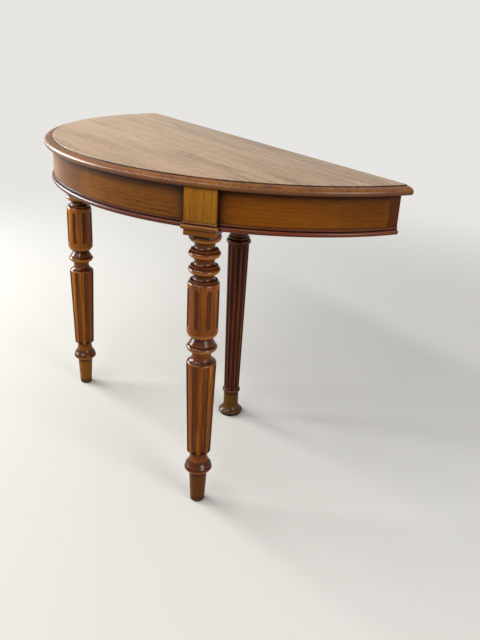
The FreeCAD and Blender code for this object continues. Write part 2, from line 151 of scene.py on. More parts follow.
@dataclass(frozen=True)
class Plan:
    """Main sizes of the table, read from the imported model."""

    top: float
    under_top: float
    back: float
    radius: float
    arc_y: float
    apron_radius: float
    apron_low: float
    rail_front: float
    rail_back: float
    leg_angle: float
    leg_radius: float
    block_low: float
    back_leg: Vector
    block_half: float = 0.0325
    facing_thickness: float = 0.0065
    apron_thickness: float = 0.022
    seat_depth: float = 0.005
    seat_height: float = 0.016

    @classmethod
    def from_frame(cls) -> "Plan":
        """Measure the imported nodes.

        Returns:
            The sizes that every piece is worked out from.
        """
        low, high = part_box("top_back_board")
        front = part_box("top_front_board")[0].y
        depth = high.y - front
        radius = (high.x ** 2 + depth ** 2) / (2 * depth)
        arc_y = front + radius
        apron_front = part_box("apron_centre")[0]
        rail_low, rail_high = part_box("back_rail")
        leg = sum(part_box("front_right_leg"), Vector()) / 2
        return cls(
            top=high.z, under_top=low.z, back=high.y, radius=radius, arc_y=arc_y,
            apron_radius=arc_y - apron_front.y, apron_low=apron_front.z,
            rail_front=rail_low.y, rail_back=rail_high.y,
            leg_angle=math.atan2(leg.x, arc_y - leg.y), leg_radius=math.hypot(leg.x, arc_y - leg.y),
            block_low=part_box("right_block_facing")[0].z,
            back_leg=sum(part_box("back_leg"), Vector()) / 2,
        )

    @property
    def arc_centre(self) -> Vector:
        """Foot of the upright axis that the front curve follows."""
        return Vector((0, self.arc_y, 0))

    @property
    def block_front(self) -> float:
        """Distance of a leg block's front from the axis of the arc."""
        return self.leg_radius + self.block_half

    @property
    def facing_front(self) -> float:
        """Distance of a facing's front from the axis of the arc."""
        return self.block_front + self.facing_thickness

    @property
    def corner(self) -> float:
        """Distance, square to a block's front, at which the apron's face meets the block's side."""
        return math.sqrt(self.apron_radius ** 2 - self.block_half ** 2)

    @property
    def seat_top(self) -> float:
        """Height of the upper end of a bead strip's seat."""
        return self.apron_low + self.seat_height

    def at_leg(self, side: Side) -> Matrix:
        """Turn from the middle of the front round to a leg."""
        turn = Matrix.Rotation(side.value * self.leg_angle, 4, "Z")
        return Matrix.Translation(self.arc_centre) @ turn @ Matrix.Translation(-self.arc_centre)

    def in_front(self, across: float, distance: float, height: float) -> Vector:
        """Point at the middle of the front, by its distance from the axis of the arc."""
        return Vector((across, self.arc_y - distance, height))


class Piece:
    """One mesh on the bench, shaped by the mesh operators."""

    def __init__(self, obj: bpy.types.Object, name: str) -> None:
        """Take a mesh object and give it its name.

        Args:
            obj: The mesh object.
            name: Name of the object and of its mesh.
        """
        self.obj = obj
        self.obj.name = name
        self.obj.data.name = name

    @staticmethod
    def clear() -> None:
        """Deselect everything, so that an operator meets only what is picked next."""
        for obj in bpy.context.selected_objects:
            obj.select_set(False)

    def pick(self) -> None:
        """Make this the one selected, active mesh."""
        self.clear()
        self.obj.select_set(True)
        bpy.context.view_layer.objects.active = self.obj

    @contextmanager
    def editing(self) -> Iterator[None]:
        """Work on all of this mesh in edit mode, then leave it again.

        Yields:
            Nothing; the work is done inside the with block.
        """
        self.pick()
        bpy.ops.object.mode_set(mode="EDIT")
        bpy.ops.mesh.select_mode(type="VERT")
        bpy.ops.mesh.select_all(action="SELECT")
        yield
        bpy.ops.object.mode_set(mode="OBJECT")

    @classmethod
    def chain(cls, name: str, points: Sequence[Vector]) -> "Piece":
        """Lay a row of joined points, extruded one from the other.

        Args:
            name: Name of the piece.
            points: The points in order; a last one that equals the first closes the row.

        Returns:
            The outline, ready for a spin or a push.
        """
        cls.clear()
        bpy.ops.mesh.primitive_plane_add(size=SEED_PLANE)
        piece = cls(bpy.context.object, name)
        with piece.editing():
            bpy.ops.mesh.merge(type="CENTER")
            bpy.ops.transform.translate(value=points[0])
            for start, end in zip(points, points[1:]):
                bpy.ops.mesh.extrude_vertices_move(TRANSFORM_OT_translate={"value": end - start})
        piece.merge()
        return piece

    @classmethod
    def lathe(cls, name: str, outline: Sequence[Point], steps: int = LATHE_STEPS) -> "Piece":
        """Turn an outline of radii and heights round the upright axis through the origin."""
        return cls.chain(name, [Vector((r, 0, z)) for r, z in outline]).spin(ORIGIN, FULL_TURN, steps)

    @classmethod
    def hoop(cls, name: str, plan: Plan, section: Sequence[Point]) -> "Piece":
        """Sweep a section along the front arc, a little past both of its ends.

        Args:
            name: Name of the piece.
            plan: Main sizes of the table.
            section: Distances from the axis of the arc, and heights.

        Returns:
            The hoop, ready to be sawn to length.
        """
        start = Matrix.Rotation(-HOOP_SWEEP, 3, "Z")
        points = [plan.arc_centre + start @ Vector((0, -r, z)) for r, z in section]
        return cls.chain(name, points).spin(plan.arc_centre, 2 * HOOP_SWEEP, RIM_STEPS)

    @classmethod
    def box(cls, name: str, low: Vector, high: Vector) -> "Piece":
        """Stretch a cube between two corners.

        Args:
            name: Name of the piece.
            low: One corner.
            high: The opposite corner.

        Returns:
            The box.
        """
        cls.clear()
        bpy.ops.mesh.primitive_cube_add(size=1)
        piece = cls(bpy.context.object, name)
        with piece.editing():
            bpy.ops.transform.resize(value=high - low)
            bpy.ops.transform.translate(value=(low + high) / 2)
        return piece

    @classmethod
    def from_node(cls, name: str, node: str) -> "Piece":
        """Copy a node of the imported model, with its loose triangles joined into whole faces.

        Args:
            name: Name of the piece.
            node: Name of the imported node.

        Returns:
            The copy.
        """
        obj = bpy.data.objects.new(name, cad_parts[node].data.copy())
        bpy.context.scene.collection.objects.link(obj)
        piece = cls(obj, name)
        with piece.editing():
            bpy.ops.mesh.remove_doubles(threshold=MERGE_DISTANCE)
            bpy.ops.mesh.customdata_custom_splitnormals_clear()
            bpy.ops.mesh.dissolve_limited(angle_limit=FLAT_ANGLE)
        return piece

    def copy(self, name: str) -> "Piece":
        """Copy this piece, with a mesh of its own.

        Args:
            name: Name of the copy.

        Returns:
            The copy.
        """
        self.pick()
        bpy.ops.object.duplicate(linked=False)
        return Piece(bpy.context.object, name)

    def discard(self) -> None:
        """Clear the piece away."""
        self.pick()
        bpy.ops.object.delete()

    def merge(self) -> None:
        """Join points that lie on each other."""
        with self.editing():
            bpy.ops.mesh.remove_doubles(threshold=MERGE_DISTANCE)

    def face_out(self) -> None:
        """Turn every face outwards."""
        with self.editing():
            bpy.ops.mesh.normals_make_consistent(inside=False)

    def spin(self, centre: Vector, angle: float, steps: int) -> "Piece":
        """Sweep the outline round an upright axis.

        Args:
            centre: A point on the axis.
            angle: Turn, seen from above against the clock.
            steps: Straight runs that stand for the turn.

        Returns:
            This piece.
        """
        with self.editing():
            bpy.ops.mesh.spin(steps=steps, angle=-angle, center=centre, axis=UP)
        self.merge()
        self.face_out()
        return self

    def push(self, way: Vector) -> "Piece":
        """Extrude a closed outline along a straight line and cap both ends.

        Args:
            way: Direction and length of the line.

        Returns:
            This piece.
        """
        with self.editing():
            bpy.ops.mesh.edge_face_add()
            bpy.ops.mesh.extrude_region_move(TRANSFORM_OT_translate={"value": way})
        self.face_out()
        return self

    def saw(self, point: Vector, normal: Vector) -> "Piece":
        """Cut along a plane, close the cut and drop what lies on the normal's side.

        Args:
            point: A point on the plane.
            normal: Direction square to the plane.

        Returns:
            This piece.
        """
        with self.editing():
            bpy.ops.mesh.bisect(plane_co=point, plane_no=normal, use_fill=True, clear_outer=True)
        self.face_out()
        return self

    def move(self, place: Matrix) -> "Piece":
        """Move the mesh, and leave the object at the origin.

        Args:
            place: Where the mesh goes, with its turn.

        Returns:
            This piece.
        """
        self.obj.matrix_world = place
        self.pick()
        bpy.ops.object.transform_apply(location=True, rotation=True, scale=True)
        return self

    def apply(self, modifier: bpy.types.Modifier) -> "Piece":
        """Apply a modifier.

        Args:
            modifier: One of this object's modifiers.

        Returns:
            This piece.
        """
        self.pick()
        bpy.ops.object.modifier_apply(modifier=modifier.name)
        return self

    def combine(self, other: "Piece", operation: Operation) -> "Piece":
        """Cut another piece out of this one, or unite them, and clear the other away.

        Args:
            other: The other piece.
            operation: What is done with it.

        Returns:
            This piece.
        """
        modifier = self.obj.modifiers.new("combine", "BOOLEAN")
        modifier.operation = operation.value
        modifier.solver = "EXACT"
        modifier.object = other.obj
        self.apply(modifier)
        other.discard()
        return self

    def join(self, others: Sequence["Piece"]) -> "Piece":
        """Take other pieces into this mesh.

        Args:
            others: The other pieces, which end here.

        Returns:
            This piece.
        """
        self.pick()
        for other in others:
            other.obj.select_set(True)
        bpy.ops.object.join()
        return self

    def bevel_edges(self, wanted: Callable[[Vector, Vector], bool], width: float) -> "Piece":
        """Round chosen edges.

        Args:
            wanted: Says from an edge's two ends whether it is rounded.
            width: Width of the rounding.

        Returns:
            This piece.
        """
        with self.editing():
            bpy.ops.mesh.select_mode(type="EDGE")
            bpy.ops.mesh.select_all(action="DESELECT")
            mesh = bmesh.from_edit_mesh(self.obj.data)
            for edge in mesh.edges:
                edge.select = wanted(edge.verts[0].co, edge.verts[1].co)
            bmesh.update_edit_mesh(self.obj.data)
            bpy.ops.mesh.bevel(offset=width, segments=ROUNDING_STEPS, affect="EDGES")
        return self

    def soften(self, width: float) -> "Piece":
        """Round every sharp edge a little.

        Args:
            width: Width of the rounding.

        Returns:
            This piece.
        """
        modifier = self.obj.modifiers.new("soften", "BEVEL")
        modifier.width = width
        modifier.segments = ROUNDING_STEPS
        modifier.limit_method = "ANGLE"
        modifier.angle_limit = SHARP_ANGLE
        return self.apply(modifier)

    def smooth(self) -> None:
        """Shade round stretches smoothly and keep sharp edges."""
        self.pick()
        bpy.ops.object.shade_smooth_by_angle(angle=SMOOTH_ANGLE)

    def dress(self, finish: "Finish", slot: str, *nodes: str) -> None:
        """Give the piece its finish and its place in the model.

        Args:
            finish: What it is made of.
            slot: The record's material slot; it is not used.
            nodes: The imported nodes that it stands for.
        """
        self.smooth()
        self.obj.data.materials.clear()
        self.obj.data.materials.append(finish.material())
        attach(self.obj, BODY)
        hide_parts(*nodes)
        log.info("%s: %d faces, stands for %s", self.obj.name, len(self.obj.data.polygons), ", ".join(nodes))


Number = Union["Flow", float]
Ways = Sequence["Flow"]


@dataclass(frozen=True)
class Figure:
    """A noise in a surface, by how often it changes in a metre along the grain and across it."""

    along: float
    across: float
    detail: float = 2.0
    roughness: float = 0.5


class Flow:
    """A number that varies over a surface. Maths on it adds Math nodes."""

    def __init__(self, recipe: "Recipe", socket: bpy.types.NodeSocket) -> None:
        """Wrap an output socket."""
        self.recipe = recipe
        self.socket = socket

    def maths(self, operation: str, *values: Number) -> "Flow":
        """Add one Math node."""
        sockets = {index: value for index, value in enumerate(values)}
        return self.recipe.number("ShaderNodeMath", {"operation": operation}, sockets)

    def __add__(self, other: Number) -> "Flow":
        """Sum."""
        return self.maths("ADD", self, other)

    def __radd__(self, other: Number) -> "Flow":
        """Sum with a plain number first."""
        return self.maths("ADD", other, self)

    def __sub__(self, other: Number) -> "Flow":
        """Difference."""
        return self.maths("SUBTRACT", self, other)

    def __rsub__(self, other: Number) -> "Flow":
        """Difference from a plain number."""
        return self.maths("SUBTRACT", other, self)

    def __mul__(self, other: Number) -> "Flow":
        """Product."""
        return self.maths("MULTIPLY", self, other)

    def __rmul__(self, other: Number) -> "Flow":
        """Product with a plain number first."""
        return self.maths("MULTIPLY", other, self)

    def __truediv__(self, other: Number) -> "Flow":
        """Quotient."""
        return self.maths("DIVIDE", self, other)

    def __pow__(self, other: Number) -> "Flow":
        """Power."""
        return self.maths("POWER", self, other)

    def __abs__(self) -> "Flow":
        """Size without sign."""
        return self.maths("ABSOLUTE", self)

    def fraction(self) -> "Flow":
        """Part after the whole number."""
        return self.maths("FRACT", self)

    def eased(self, low: float, high: float) -> "Flow":
        """Smooth rise from 0 at low to 1 at high."""
        sockets = {"Value": self, "From Min": low, "From Max": high}
        return self.recipe.number("ShaderNodeMapRange", {"interpolation_type": "SMOOTHSTEP"}, sockets)


class Recipe:
    """The nodes of one material, or of the world."""

    # Sockets of the Mix node that carry colours.
    MIX_FIRST, MIX_SECOND, MIX_RESULT = 6, 7, 2

    def __init__(self, owner: Union[bpy.types.Material, bpy.types.World]) -> None:
        """Start with an empty node tree.

        Args:
            owner: The new material or world.
        """
        self.owner = owner
        self.owner.use_nodes = True
        self.tree = self.owner.node_tree
        self.tree.nodes.clear()

    def node(self, kind: str, settings: dict, sockets: dict) -> bpy.types.Node:
        """Add a node.

        Args:
            kind: Type name of the node.
            settings: Its properties, set first.
            sockets: Values or links by the name or number of the input.

        Returns:
            The node.
        """
        node = self.tree.nodes.new(kind)
        for key, value in settings.items():
            setattr(node, key, value)
        for key, value in sockets.items():
            if isinstance(value, Flow):
                value = value.socket
            if isinstance(value, bpy.types.NodeSocket):
                self.tree.links.new(value, node.inputs[key])
            else:
                node.inputs[key].default_value = value
        return node

    def number(self, kind: str, settings: dict, sockets: dict, output: Union[int, str] = 0) -> Flow:
        """Add a node and take one of its outputs as a number."""
        return Flow(self, self.node(kind, settings, sockets).outputs[output])

    def vector(self, x: Number, y: Number, z: Number) -> bpy.types.NodeSocket:
        """Put three numbers together."""
        return self.node("ShaderNodeCombineXYZ", {}, {0: x, 1: y, 2: z}).outputs[0]

    def spread(self, reading: Reading) -> list[Flow]:
        """Take a reading of the surface apart.

        Args:
            reading: The place on the table, or the way that the face points.

        Returns:
            Its three numbers.
        """
        coordinates = self.node("ShaderNodeTexCoord", {}, {})
        split = self.node("ShaderNodeSeparateXYZ", {}, {0: coordinates.outputs[reading.value]})
        return [Flow(self, output) for output in split.outputs]

    def stretched(self, figure: Figure, ways: Ways) -> bpy.types.NodeSocket:
        """Scale the places along the grain and across it to a figure."""
        along, across, deep = ways
        return self.vector(along * figure.along, across * figure.across, deep * figure.across)

    def noise(self, figure: Figure, ways: Ways) -> Flow:
        """Add soft noise.

        Args:
            figure: How fine the noise is.
            ways: Place along the grain and across it.

        Returns:
            A number between 0 and 1.
        """
        return self.number("ShaderNodeTexNoise", {}, {
            "Vector": self.stretched(figure, ways), "Scale": 1.0, "Detail": figure.detail,
            "Roughness": figure.roughness})

    def blend(self, share: Number, first: object, second: object, mode: str = "MIX") -> bpy.types.NodeSocket:
        """Mix two colours.

        Args:
            share: How much of the second colour comes in.
            first: A colour, or a socket that carries one.
            second: The other colour or socket.
            mode: Blender's name for the kind of mix.

        Returns:
            Socket of the mixed colour.
        """
        mix = self.node("ShaderNodeMix", {"data_type": "RGBA", "blend_type": mode}, {
            0: share, self.MIX_FIRST: opaque(first), self.MIX_SECOND: opaque(second)})
        return mix.outputs[self.MIX_RESULT]

    def shade(self, distance: float, inside: bool) -> Flow:
        """How near other faces are: 1 in a crevice or, inside, at an edge, and 0 on open faces."""
        settings = {"inside": inside, "samples": SHADE_SAMPLES}
        return 1 - self.number("ShaderNodeAmbientOcclusion", settings, {"Distance": distance}, "AO")


def opaque(colour: object) -> object:
    """Add full opacity to a plain colour, and leave a socket as it is."""
    return (*colour, 1.0) if isinstance(colour, tuple) else colour


# The curve of sRGB screens: a straight toe, then a power.
SCREEN_WHITE = 255
TOE_END, TOE_SLOPE = 0.04045, 12.92
CURVE_SHIFT, CURVE_POWER = 0.055, 2.4
BLACK = (0.0, 0.0, 0.0)


def linear(*screen: int) -> Colour:
    """Turn a screen colour into a scene colour.

    Args:
        screen: Red, green and blue in 0 to 255.

    Returns:
        The same colour in shares of light.
    """
    shares = [value / SCREEN_WHITE for value in screen]
    return tuple(share / TOE_SLOPE if share <= TOE_END
                 else ((share + CURVE_SHIFT) / (1 + CURVE_SHIFT)) ** CURVE_POWER for share in shares)


@dataclass(frozen=True)
class Finish:
    """What a piece is made of."""

    name: str

    def material(self) -> bpy.types.Material:
        """Build the material once, and give it again when it is asked for again."""
        return bpy.data.materials.get(self.name) or self.build()

    def build(self) -> bpy.types.Material:
        """Lay the nodes of the material."""
        raise NotImplementedError


# Noises of the wood and the steel.
SWAY = Figure(2.2, 6.0)
STREAK = Figure(7.0, 260.0, 3.0, 0.6)
PATCH = Figure(3.0, 22.0, 3.0)
FLECK = Figure(55.0, 420.0)
FIBRE = Figure(45.0, 1300.0)
SMUDGE = Figure(9.0, 9.0, 4.0, 0.65)
RIPPLE = Figure(190.0, 190.0)
SPECK = Figure(22.0, 40.0)
BLOTCH = Figure(400.0, 400.0, 4.0)

# How figure, wear, painted highlight, painted shade and painted light come in. A pair holds the ends of a
# smooth rise; the rest are shares or lengths.
END_GRAIN_TURN, HOOP_END_TURN, END_GRAIN_SHARE = (0.75, 0.98), (0.985, 0.999), 0.45
SWAY_REACH, HEART_SLOPE, RING_SWAY = 0.02, 0.012, 3.0
LATE_RISE, LATE_FALL = (0.35, 0.95), (0.95, 1.0)
LOW_TONES, HIGH_TONES = (0.1, 0.5), (0.5, 0.9)
PORE_RANGE = (0.56, 0.72)
EDGE_REACH, EDGE_RANGE, WORN_LIT_PATCHES = 0.0025, (0.25, 0.75), (0.35, 0.6)
HOLLOW_RANGE, GAP_RANGE = (0.02, 0.16), (0.46, 0.6)
FADED_DEPTHS = (0.0006, 0.0001)
LEDGE_SHADE_SLOPES, UNDERSIDE_LIGHT_SLOPES, LEDGE_UNEVEN = (0.3, 0.75), (0.06, 0.4), 0.4
ANKLE_HEIGHTS, ANKLE_SLOPES = (0.1, 0.12), (0.1, 0.3)
SPECK_SIZES, SPECK_CHOICE = (0.03, 0.075), (0.74, 0.76)
SCUFF_SHARE = 0.8
SMUDGE_ROUGHNESS, PORE_ROUGHNESS, PAINTED_SHADE_ROUGHNESS = 0.18, 0.25, 0.2
FIBRE_RELIEF, STREAK_RELIEF, LATE_RELIEF, RELIEF_DEPTH = 0.35, 0.5, 0.25, 0.0006


@dataclass(frozen=True)
class Timber(Finish):
    """A wood with its polish and its wear, with painted shade, painted light and painted highlight laid over
    it. A share of 0 leaves its effect out.
    """

    grain: Grain
    dark: Colour
    middle: Colour
    light: Colour
    line: Colour
    worn_lit_edge: Colour
    seed: float = 0.0
    heart: Point = (0.0, -0.07)
    ring_width: float = 0.007
    ring_share: float = 0.1
    streak_share: float = 0.7
    fleck_share: float = 0.4
    patch_share: float = 0.8
    pore_share: float = 0.3
    speck_share: float = 0.0
    painted_shade_share: float = 0.75
    painted_shade_reach: float = 0.012
    painted_shade_range: Point = (0.1, 0.65)
    hollow: Colour = BLACK
    hollow_share: float = 0.0
    hollow_reach: float = 0.02
    hollow_gaps: float = 0.0
    ledge: Colour = BLACK
    ledge_shade_share: float = 0.0
    ankle_ledge_shade: float = 0.0
    ripple_share: float = 0.0
    under: Colour = BLACK
    underside_light_share: float = 0.0
    worn_lit_share: float = 0.35
    stain: Colour = BLACK
    stain_share: float = 0.0
    stain_height: float = 0.0
    stain_blur: float = 0.001
    end_shade_share: float = 0.0
    end_shade_way: Way = Way.TO_WALL
    end_shade_span: Point = (-0.02, 0.2)
    foot_height: float = 0.0
    foot_blur: float = 0.7
    foot_colour: Colour = BLACK
    faded_sheen: Colour = BLACK
    faded_sheen_share: float = 0.0
    faded_sheen_figure: float = 0.9
    painted_light_lean: float = 0.0
    roughness: float = 0.42
    gloss: float = 0.2
    bump: float = 0.12

    def directions(self, recipe: Recipe) -> tuple[Flow, Flow, Flow, Flow]:
        """Find the way of the grain.

        Args:
            recipe: The material's nodes.

        Returns:
            The place along the grain, two places across it, and the share of end grain.
        """
        x, y, z = recipe.spread(Reading.PLACE)
        normal_x, normal_y, normal_z = recipe.spread(Reading.FACING)
        if self.grain is Grain.UPRIGHT:
            return z, x, y, abs(normal_z).eased(*END_GRAIN_TURN)
        if self.grain is Grain.ALONG_BACK:
            return x, y, z, abs(normal_x).eased(*END_GRAIN_TURN)
        depth = PLAN.arc_y - y
        angle = x.maths("ARCTAN2", x, depth)
        reach = (x * x + depth * depth) ** 0.5
        return angle * PLAN.apron_radius, z, reach, abs(normal_y).eased(*HOOP_END_TURN)

    def late_wood(self, ways: Ways, sway: Flow) -> Flow:
        """Find the dark rims of the year rings.

        Args:
            ways: Place along the grain and across it.
            sway: Noise that bends the rings.

        Returns:
            Share of late wood.
        """
        along, across, deep = ways
        from_heart = across - self.heart[0] + along * HEART_SLOPE
        depth = deep - self.heart[1] - PLAN.top * (self.grain is Grain.ALONG_BACK)
        reach = (from_heart * from_heart + depth * depth) ** 0.5
        ring = (reach / self.ring_width + sway * RING_SWAY).fraction()
        return ring.eased(*LATE_RISE) * (1 - ring.eased(*LATE_FALL))

    def build(self) -> bpy.types.Material:
        """Lay the nodes: figure of the wood, pores, wear, painted light and shade, and polish.

        Returns:
            The new material.
        """
        recipe = Recipe(bpy.data.materials.new(self.name))
        along, across, deep, end_grain = self.directions(recipe)
        along = along + self.seed
        sway = recipe.noise(SWAY, (along, across, deep))
        ways = (along, across + (sway - NOISE_MIDDLE) * SWAY_REACH, deep)
        late = self.late_wood(ways, sway)
        streak, patch, fleck, fibre, smudge = (
            recipe.noise(figure, ways) for figure in (STREAK, PATCH, FLECK, FIBRE, SMUDGE))
        tone = NOISE_MIDDLE + (streak - NOISE_MIDDLE) * self.streak_share
        tone = tone + (patch - NOISE_MIDDLE) * self.patch_share
        tone = tone + (fleck - NOISE_MIDDLE) * self.fleck_share - late * self.ring_share
        low_half = recipe.blend(tone.eased(*LOW_TONES), self.dark, self.middle)
        colour = recipe.blend(tone.eased(*HIGH_TONES), low_half, self.light)
        pores = fibre.eased(*PORE_RANGE) * self.pore_share
        colour = recipe.blend(pores, colour, self.line)
        colour = recipe.blend(end_grain * END_GRAIN_SHARE, colour, self.line)
        if self.faded_sheen_share:
            colour = self.fade_with_sheen(recipe, colour, tone)
        if self.speck_share:
            colour = self.specks(recipe, colour, ways)
        colour = self.aged(recipe, colour, smudge)
        # Painted shade: darker where other faces are near, in crevices and under overhangs such as the rim.
        painted_shade = recipe.shade(self.painted_shade_reach, False).eased(*self.painted_shade_range) * self.painted_shade_share
        colour = recipe.blend(painted_shade, colour, self.line, "MULTIPLY")
        roughness = self.roughness + (smudge - NOISE_MIDDLE) * SMUDGE_ROUGHNESS
        roughness = roughness + pores * PORE_ROUGHNESS + painted_shade * PAINTED_SHADE_ROUGHNESS
        height = fibre * FIBRE_RELIEF + streak * STREAK_RELIEF + late * LATE_RELIEF
        if self.ripple_share:
            height = height + recipe.noise(RIPPLE, ways) * self.ripple_share
        bump = recipe.node("ShaderNodeBump", {}, {
            "Strength": self.bump, "Distance": RELIEF_DEPTH, "Height": height})
        surface = recipe.node("ShaderNodeBsdfPrincipled", {}, {
            "Base Color": colour, "Roughness": roughness, "Specular IOR Level": self.gloss,
            "Normal": bump.outputs[0]})
        recipe.node("ShaderNodeOutputMaterial", {}, {"Surface": surface.outputs[0]})
        return recipe.owner

    def aged(self, recipe: Recipe, colour: object, smudge: Flow) -> bpy.types.NodeSocket:
        """Lay worn edges with painted highlight, stain, painted shade towards one end, scuffs, painted shade
        on ledges with painted light under them, and dark hollows with painted shade over the wood.

        Args:
            recipe: The material's nodes.
            colour: Colour so far.
            smudge: Uneven noise.

        Returns:
            Colour of the aged wood.
        """
        # Worn edges, paler where rubbed; on the facing and the leg lands they also stand for painted
        # highlight along the arrises.
        edges = recipe.shade(EDGE_REACH, True).eased(*EDGE_RANGE)
        colour = recipe.blend(edges * smudge.eased(*WORN_LIT_PATCHES) * self.worn_lit_share, colour, self.worn_lit_edge)
        if self.stain_share:
            colour = self.stained_low(recipe, colour)
        if self.end_shade_share:
            colour = self.shade_towards_end(recipe, colour)
        if self.foot_height:
            colour = self.scuffed_foot(recipe, colour, smudge)
        if self.ledge_shade_share:
            colour = self.shaded_ledges(recipe, colour, smudge)
        # Hollows: dark old wax, with painted shade in flutes, quirks, grooves and the top's step.
        if self.hollow_share:
            kept = (1 - smudge.eased(*GAP_RANGE) * self.hollow_gaps) * self.hollow_share
            hollow = recipe.shade(self.hollow_reach, False).eased(*HOLLOW_RANGE) * kept
            colour = recipe.blend(hollow, colour, self.hollow)
        return colour

    def fade_with_sheen(self, recipe: Recipe, colour: object, tone: Flow) -> bpy.types.NodeSocket:
        """Pale the upper face of the top: fading by light over the years, with painted sheen, and paler
        towards the left as painted light from that side.

        Args:
            recipe: The material's nodes.
            colour: Colour so far.
            tone: Figure of the wood.

        Returns:
            Colour with the faded upper face.
        """
        x, _, z = recipe.spread(Reading.PLACE)
        upper = z.eased(*(PLAN.top - depth for depth in FADED_DEPTHS))
        share = self.faded_sheen_share + (tone - NOISE_MIDDLE) * self.faded_sheen_figure - x * self.painted_light_lean
        return recipe.blend(upper * share, colour, self.faded_sheen)

    def stained_low(self, recipe: Recipe, colour: object) -> bpy.types.NodeSocket:
        """Darken what lies below a height, where the stain was not rubbed off.

        Args:
            recipe: The material's nodes.
            colour: Colour so far.

        Returns:
            Colour with the stain.
        """
        height = recipe.spread(Reading.PLACE)[2]
        share = 1 - height.eased(self.stain_height - self.stain_blur, self.stain_height + self.stain_blur)
        return recipe.blend(share * self.stain_share, colour, self.stain)

    def shade_towards_end(self, recipe: Recipe, colour: object) -> bpy.types.NodeSocket:
        """Darken the wood towards one end: painted shade.

        Args:
            recipe: The material's nodes.
            colour: Colour so far.

        Returns:
            Colour with the grime.
        """
        distance = recipe.spread(Reading.PLACE)[self.end_shade_way.value]
        share = distance.eased(*self.end_shade_span) * self.end_shade_share
        return recipe.blend(share, colour, self.line, "MULTIPLY")

    def shaded_ledges(self, recipe: Recipe, colour: object, smudge: Flow) -> bpy.types.NodeSocket:
        """Darken the upper sides of rings and lips as painted shade, with old wax there, and lighten their
        undersides as painted light from below.

        Args:
            recipe: The material's nodes.
            colour: Colour so far.
            smudge: Uneven noise.

        Returns:
            Colour with the dark ledges.
        """
        upward = recipe.spread(Reading.FACING)[2]
        height = recipe.spread(Reading.PLACE)[2]
        uneven = (smudge - NOISE_MIDDLE) * LEDGE_UNEVEN
        low = (1 - height.eased(*ANKLE_HEIGHTS)) * upward.eased(*ANKLE_SLOPES) * self.ankle_ledge_shade
        above = (upward + uneven + low).eased(*LEDGE_SHADE_SLOPES) * self.ledge_shade_share
        below = (uneven - upward).eased(*UNDERSIDE_LIGHT_SLOPES) * self.underside_light_share
        colour = recipe.blend(above, colour, self.ledge)
        return recipe.blend(below, colour, self.under)

    def specks(self, recipe: Recipe, colour: object, ways: Ways) -> bpy.types.NodeSocket:
        """Scatter small dark flecks, a little longer than wide.

        Args:
            recipe: The material's nodes.
            colour: Colour so far.
            ways: Place along the grain and across it.

        Returns:
            Colour with the flecks.
        """
        sockets = {"Vector": recipe.stretched(SPECK, ways), "Scale": 1.0}
        cells = recipe.node("ShaderNodeTexVoronoi", {}, sockets)
        near = 1 - Flow(recipe, cells.outputs["Distance"]).eased(*SPECK_SIZES)
        draw = recipe.number("ShaderNodeSeparateColor", {}, {0: cells.outputs["Color"]})
        return recipe.blend(near * draw.eased(*SPECK_CHOICE) * self.speck_share, colour, self.line)

    def scuffed_foot(self, recipe: Recipe, colour: object, smudge: Flow) -> bpy.types.NodeSocket:
        """Rub the polish off towards the floor.

        Args:
            recipe: The material's nodes.
            colour: Colour so far.
            smudge: Uneven noise.

        Returns:
            Colour with the scuffed foot.
        """
        height = recipe.spread(Reading.PLACE)[2] / self.foot_height
        share = 1 - (height + (smudge - NOISE_MIDDLE) * self.foot_blur).eased(1 - self.foot_blur, 1.0)
        return recipe.blend(share * SCUFF_SHARE, colour, self.foot_colour)


@dataclass(frozen=True)
class Metal(Finish):
    """Dull steel of the screws."""

    bright: Colour
    tarnish: Colour
    tarnish_range: Point = (0.4, 0.65)
    roughness: float = 0.45
    tarnish_roughness: float = 0.2
    bump: float = 0.1
    relief: float = 0.0003

    def build(self) -> bpy.types.Material:
        """Steel with tarnish in blotches.

        Returns:
            The new material.
        """
        recipe = Recipe(bpy.data.materials.new(self.name))
        blotch = recipe.noise(BLOTCH, recipe.spread(Reading.PLACE))
        colour = recipe.blend(blotch.eased(*self.tarnish_range), self.bright, self.tarnish)
        bump = recipe.node("ShaderNodeBump", {}, {
            "Strength": self.bump, "Distance": self.relief, "Height": blotch})
        surface = recipe.node("ShaderNodeBsdfPrincipled", {}, {
            "Base Color": colour, "Metallic": 1.0, "Normal": bump.outputs[0],
            "Roughness": self.roughness + blotch * self.tarnish_roughness})
        recipe.node("ShaderNodeOutputMaterial", {}, {"Surface": surface.outputs[0]})
        return recipe.owner


class Turning:
    """Outline of a turned stretch, followed from its upper end down."""

    def __init__(self, radius: float, height: float) -> None:
        """Start at the axis and step out to the first radius."""
        self.points: list[Point] = [(0.0, height), (radius, height)]

    @property
    def height(self) -> float:
        """Height that the outline has come down to."""
        return self.points[-1][1]

    def straight(self, radius: float, drop: float) -> None:
        """Cone, cylinder or, with no drop, a flat shoulder."""
        self.points.append((radius, self.height - drop))

    def curved(self, middle_radius: float, end_radius: float, drop: float) -> None:
        """Ring or hollow through its middle radius."""
        middle = (middle_radius, self.height - drop / 2)
        self.points += bow(self.points[-1], middle, (end_radius, self.height - drop))

    def shoulder(self, small: float, large: float, drop: float) -> None:
        """Rounded step out from a small radius to a large one."""
        self.curved(large - SHOULDER_SHARE * (large - small), large, drop)

    def round_in(self, large: float, small: float, drop: float) -> None:
        """Rounded step in from a large radius to a small one."""
        self.curved(large - SHOULDER_SHARE * (large - small), small, drop)

    def bulge(self, large: float, end: float, upper: float, lower: float) -> None:
        """Rounded swelling out to a large radius and in again to its end."""
        self.shoulder(self.points[-1][0], large, upper)
        self.round_in(large, end, lower)

    def turned(self, name: str) -> Piece:
        """Close the outline at the axis and turn it, with its axis through the origin."""
        return Piece.lathe(name, self.points + [(0.0, self.height)])


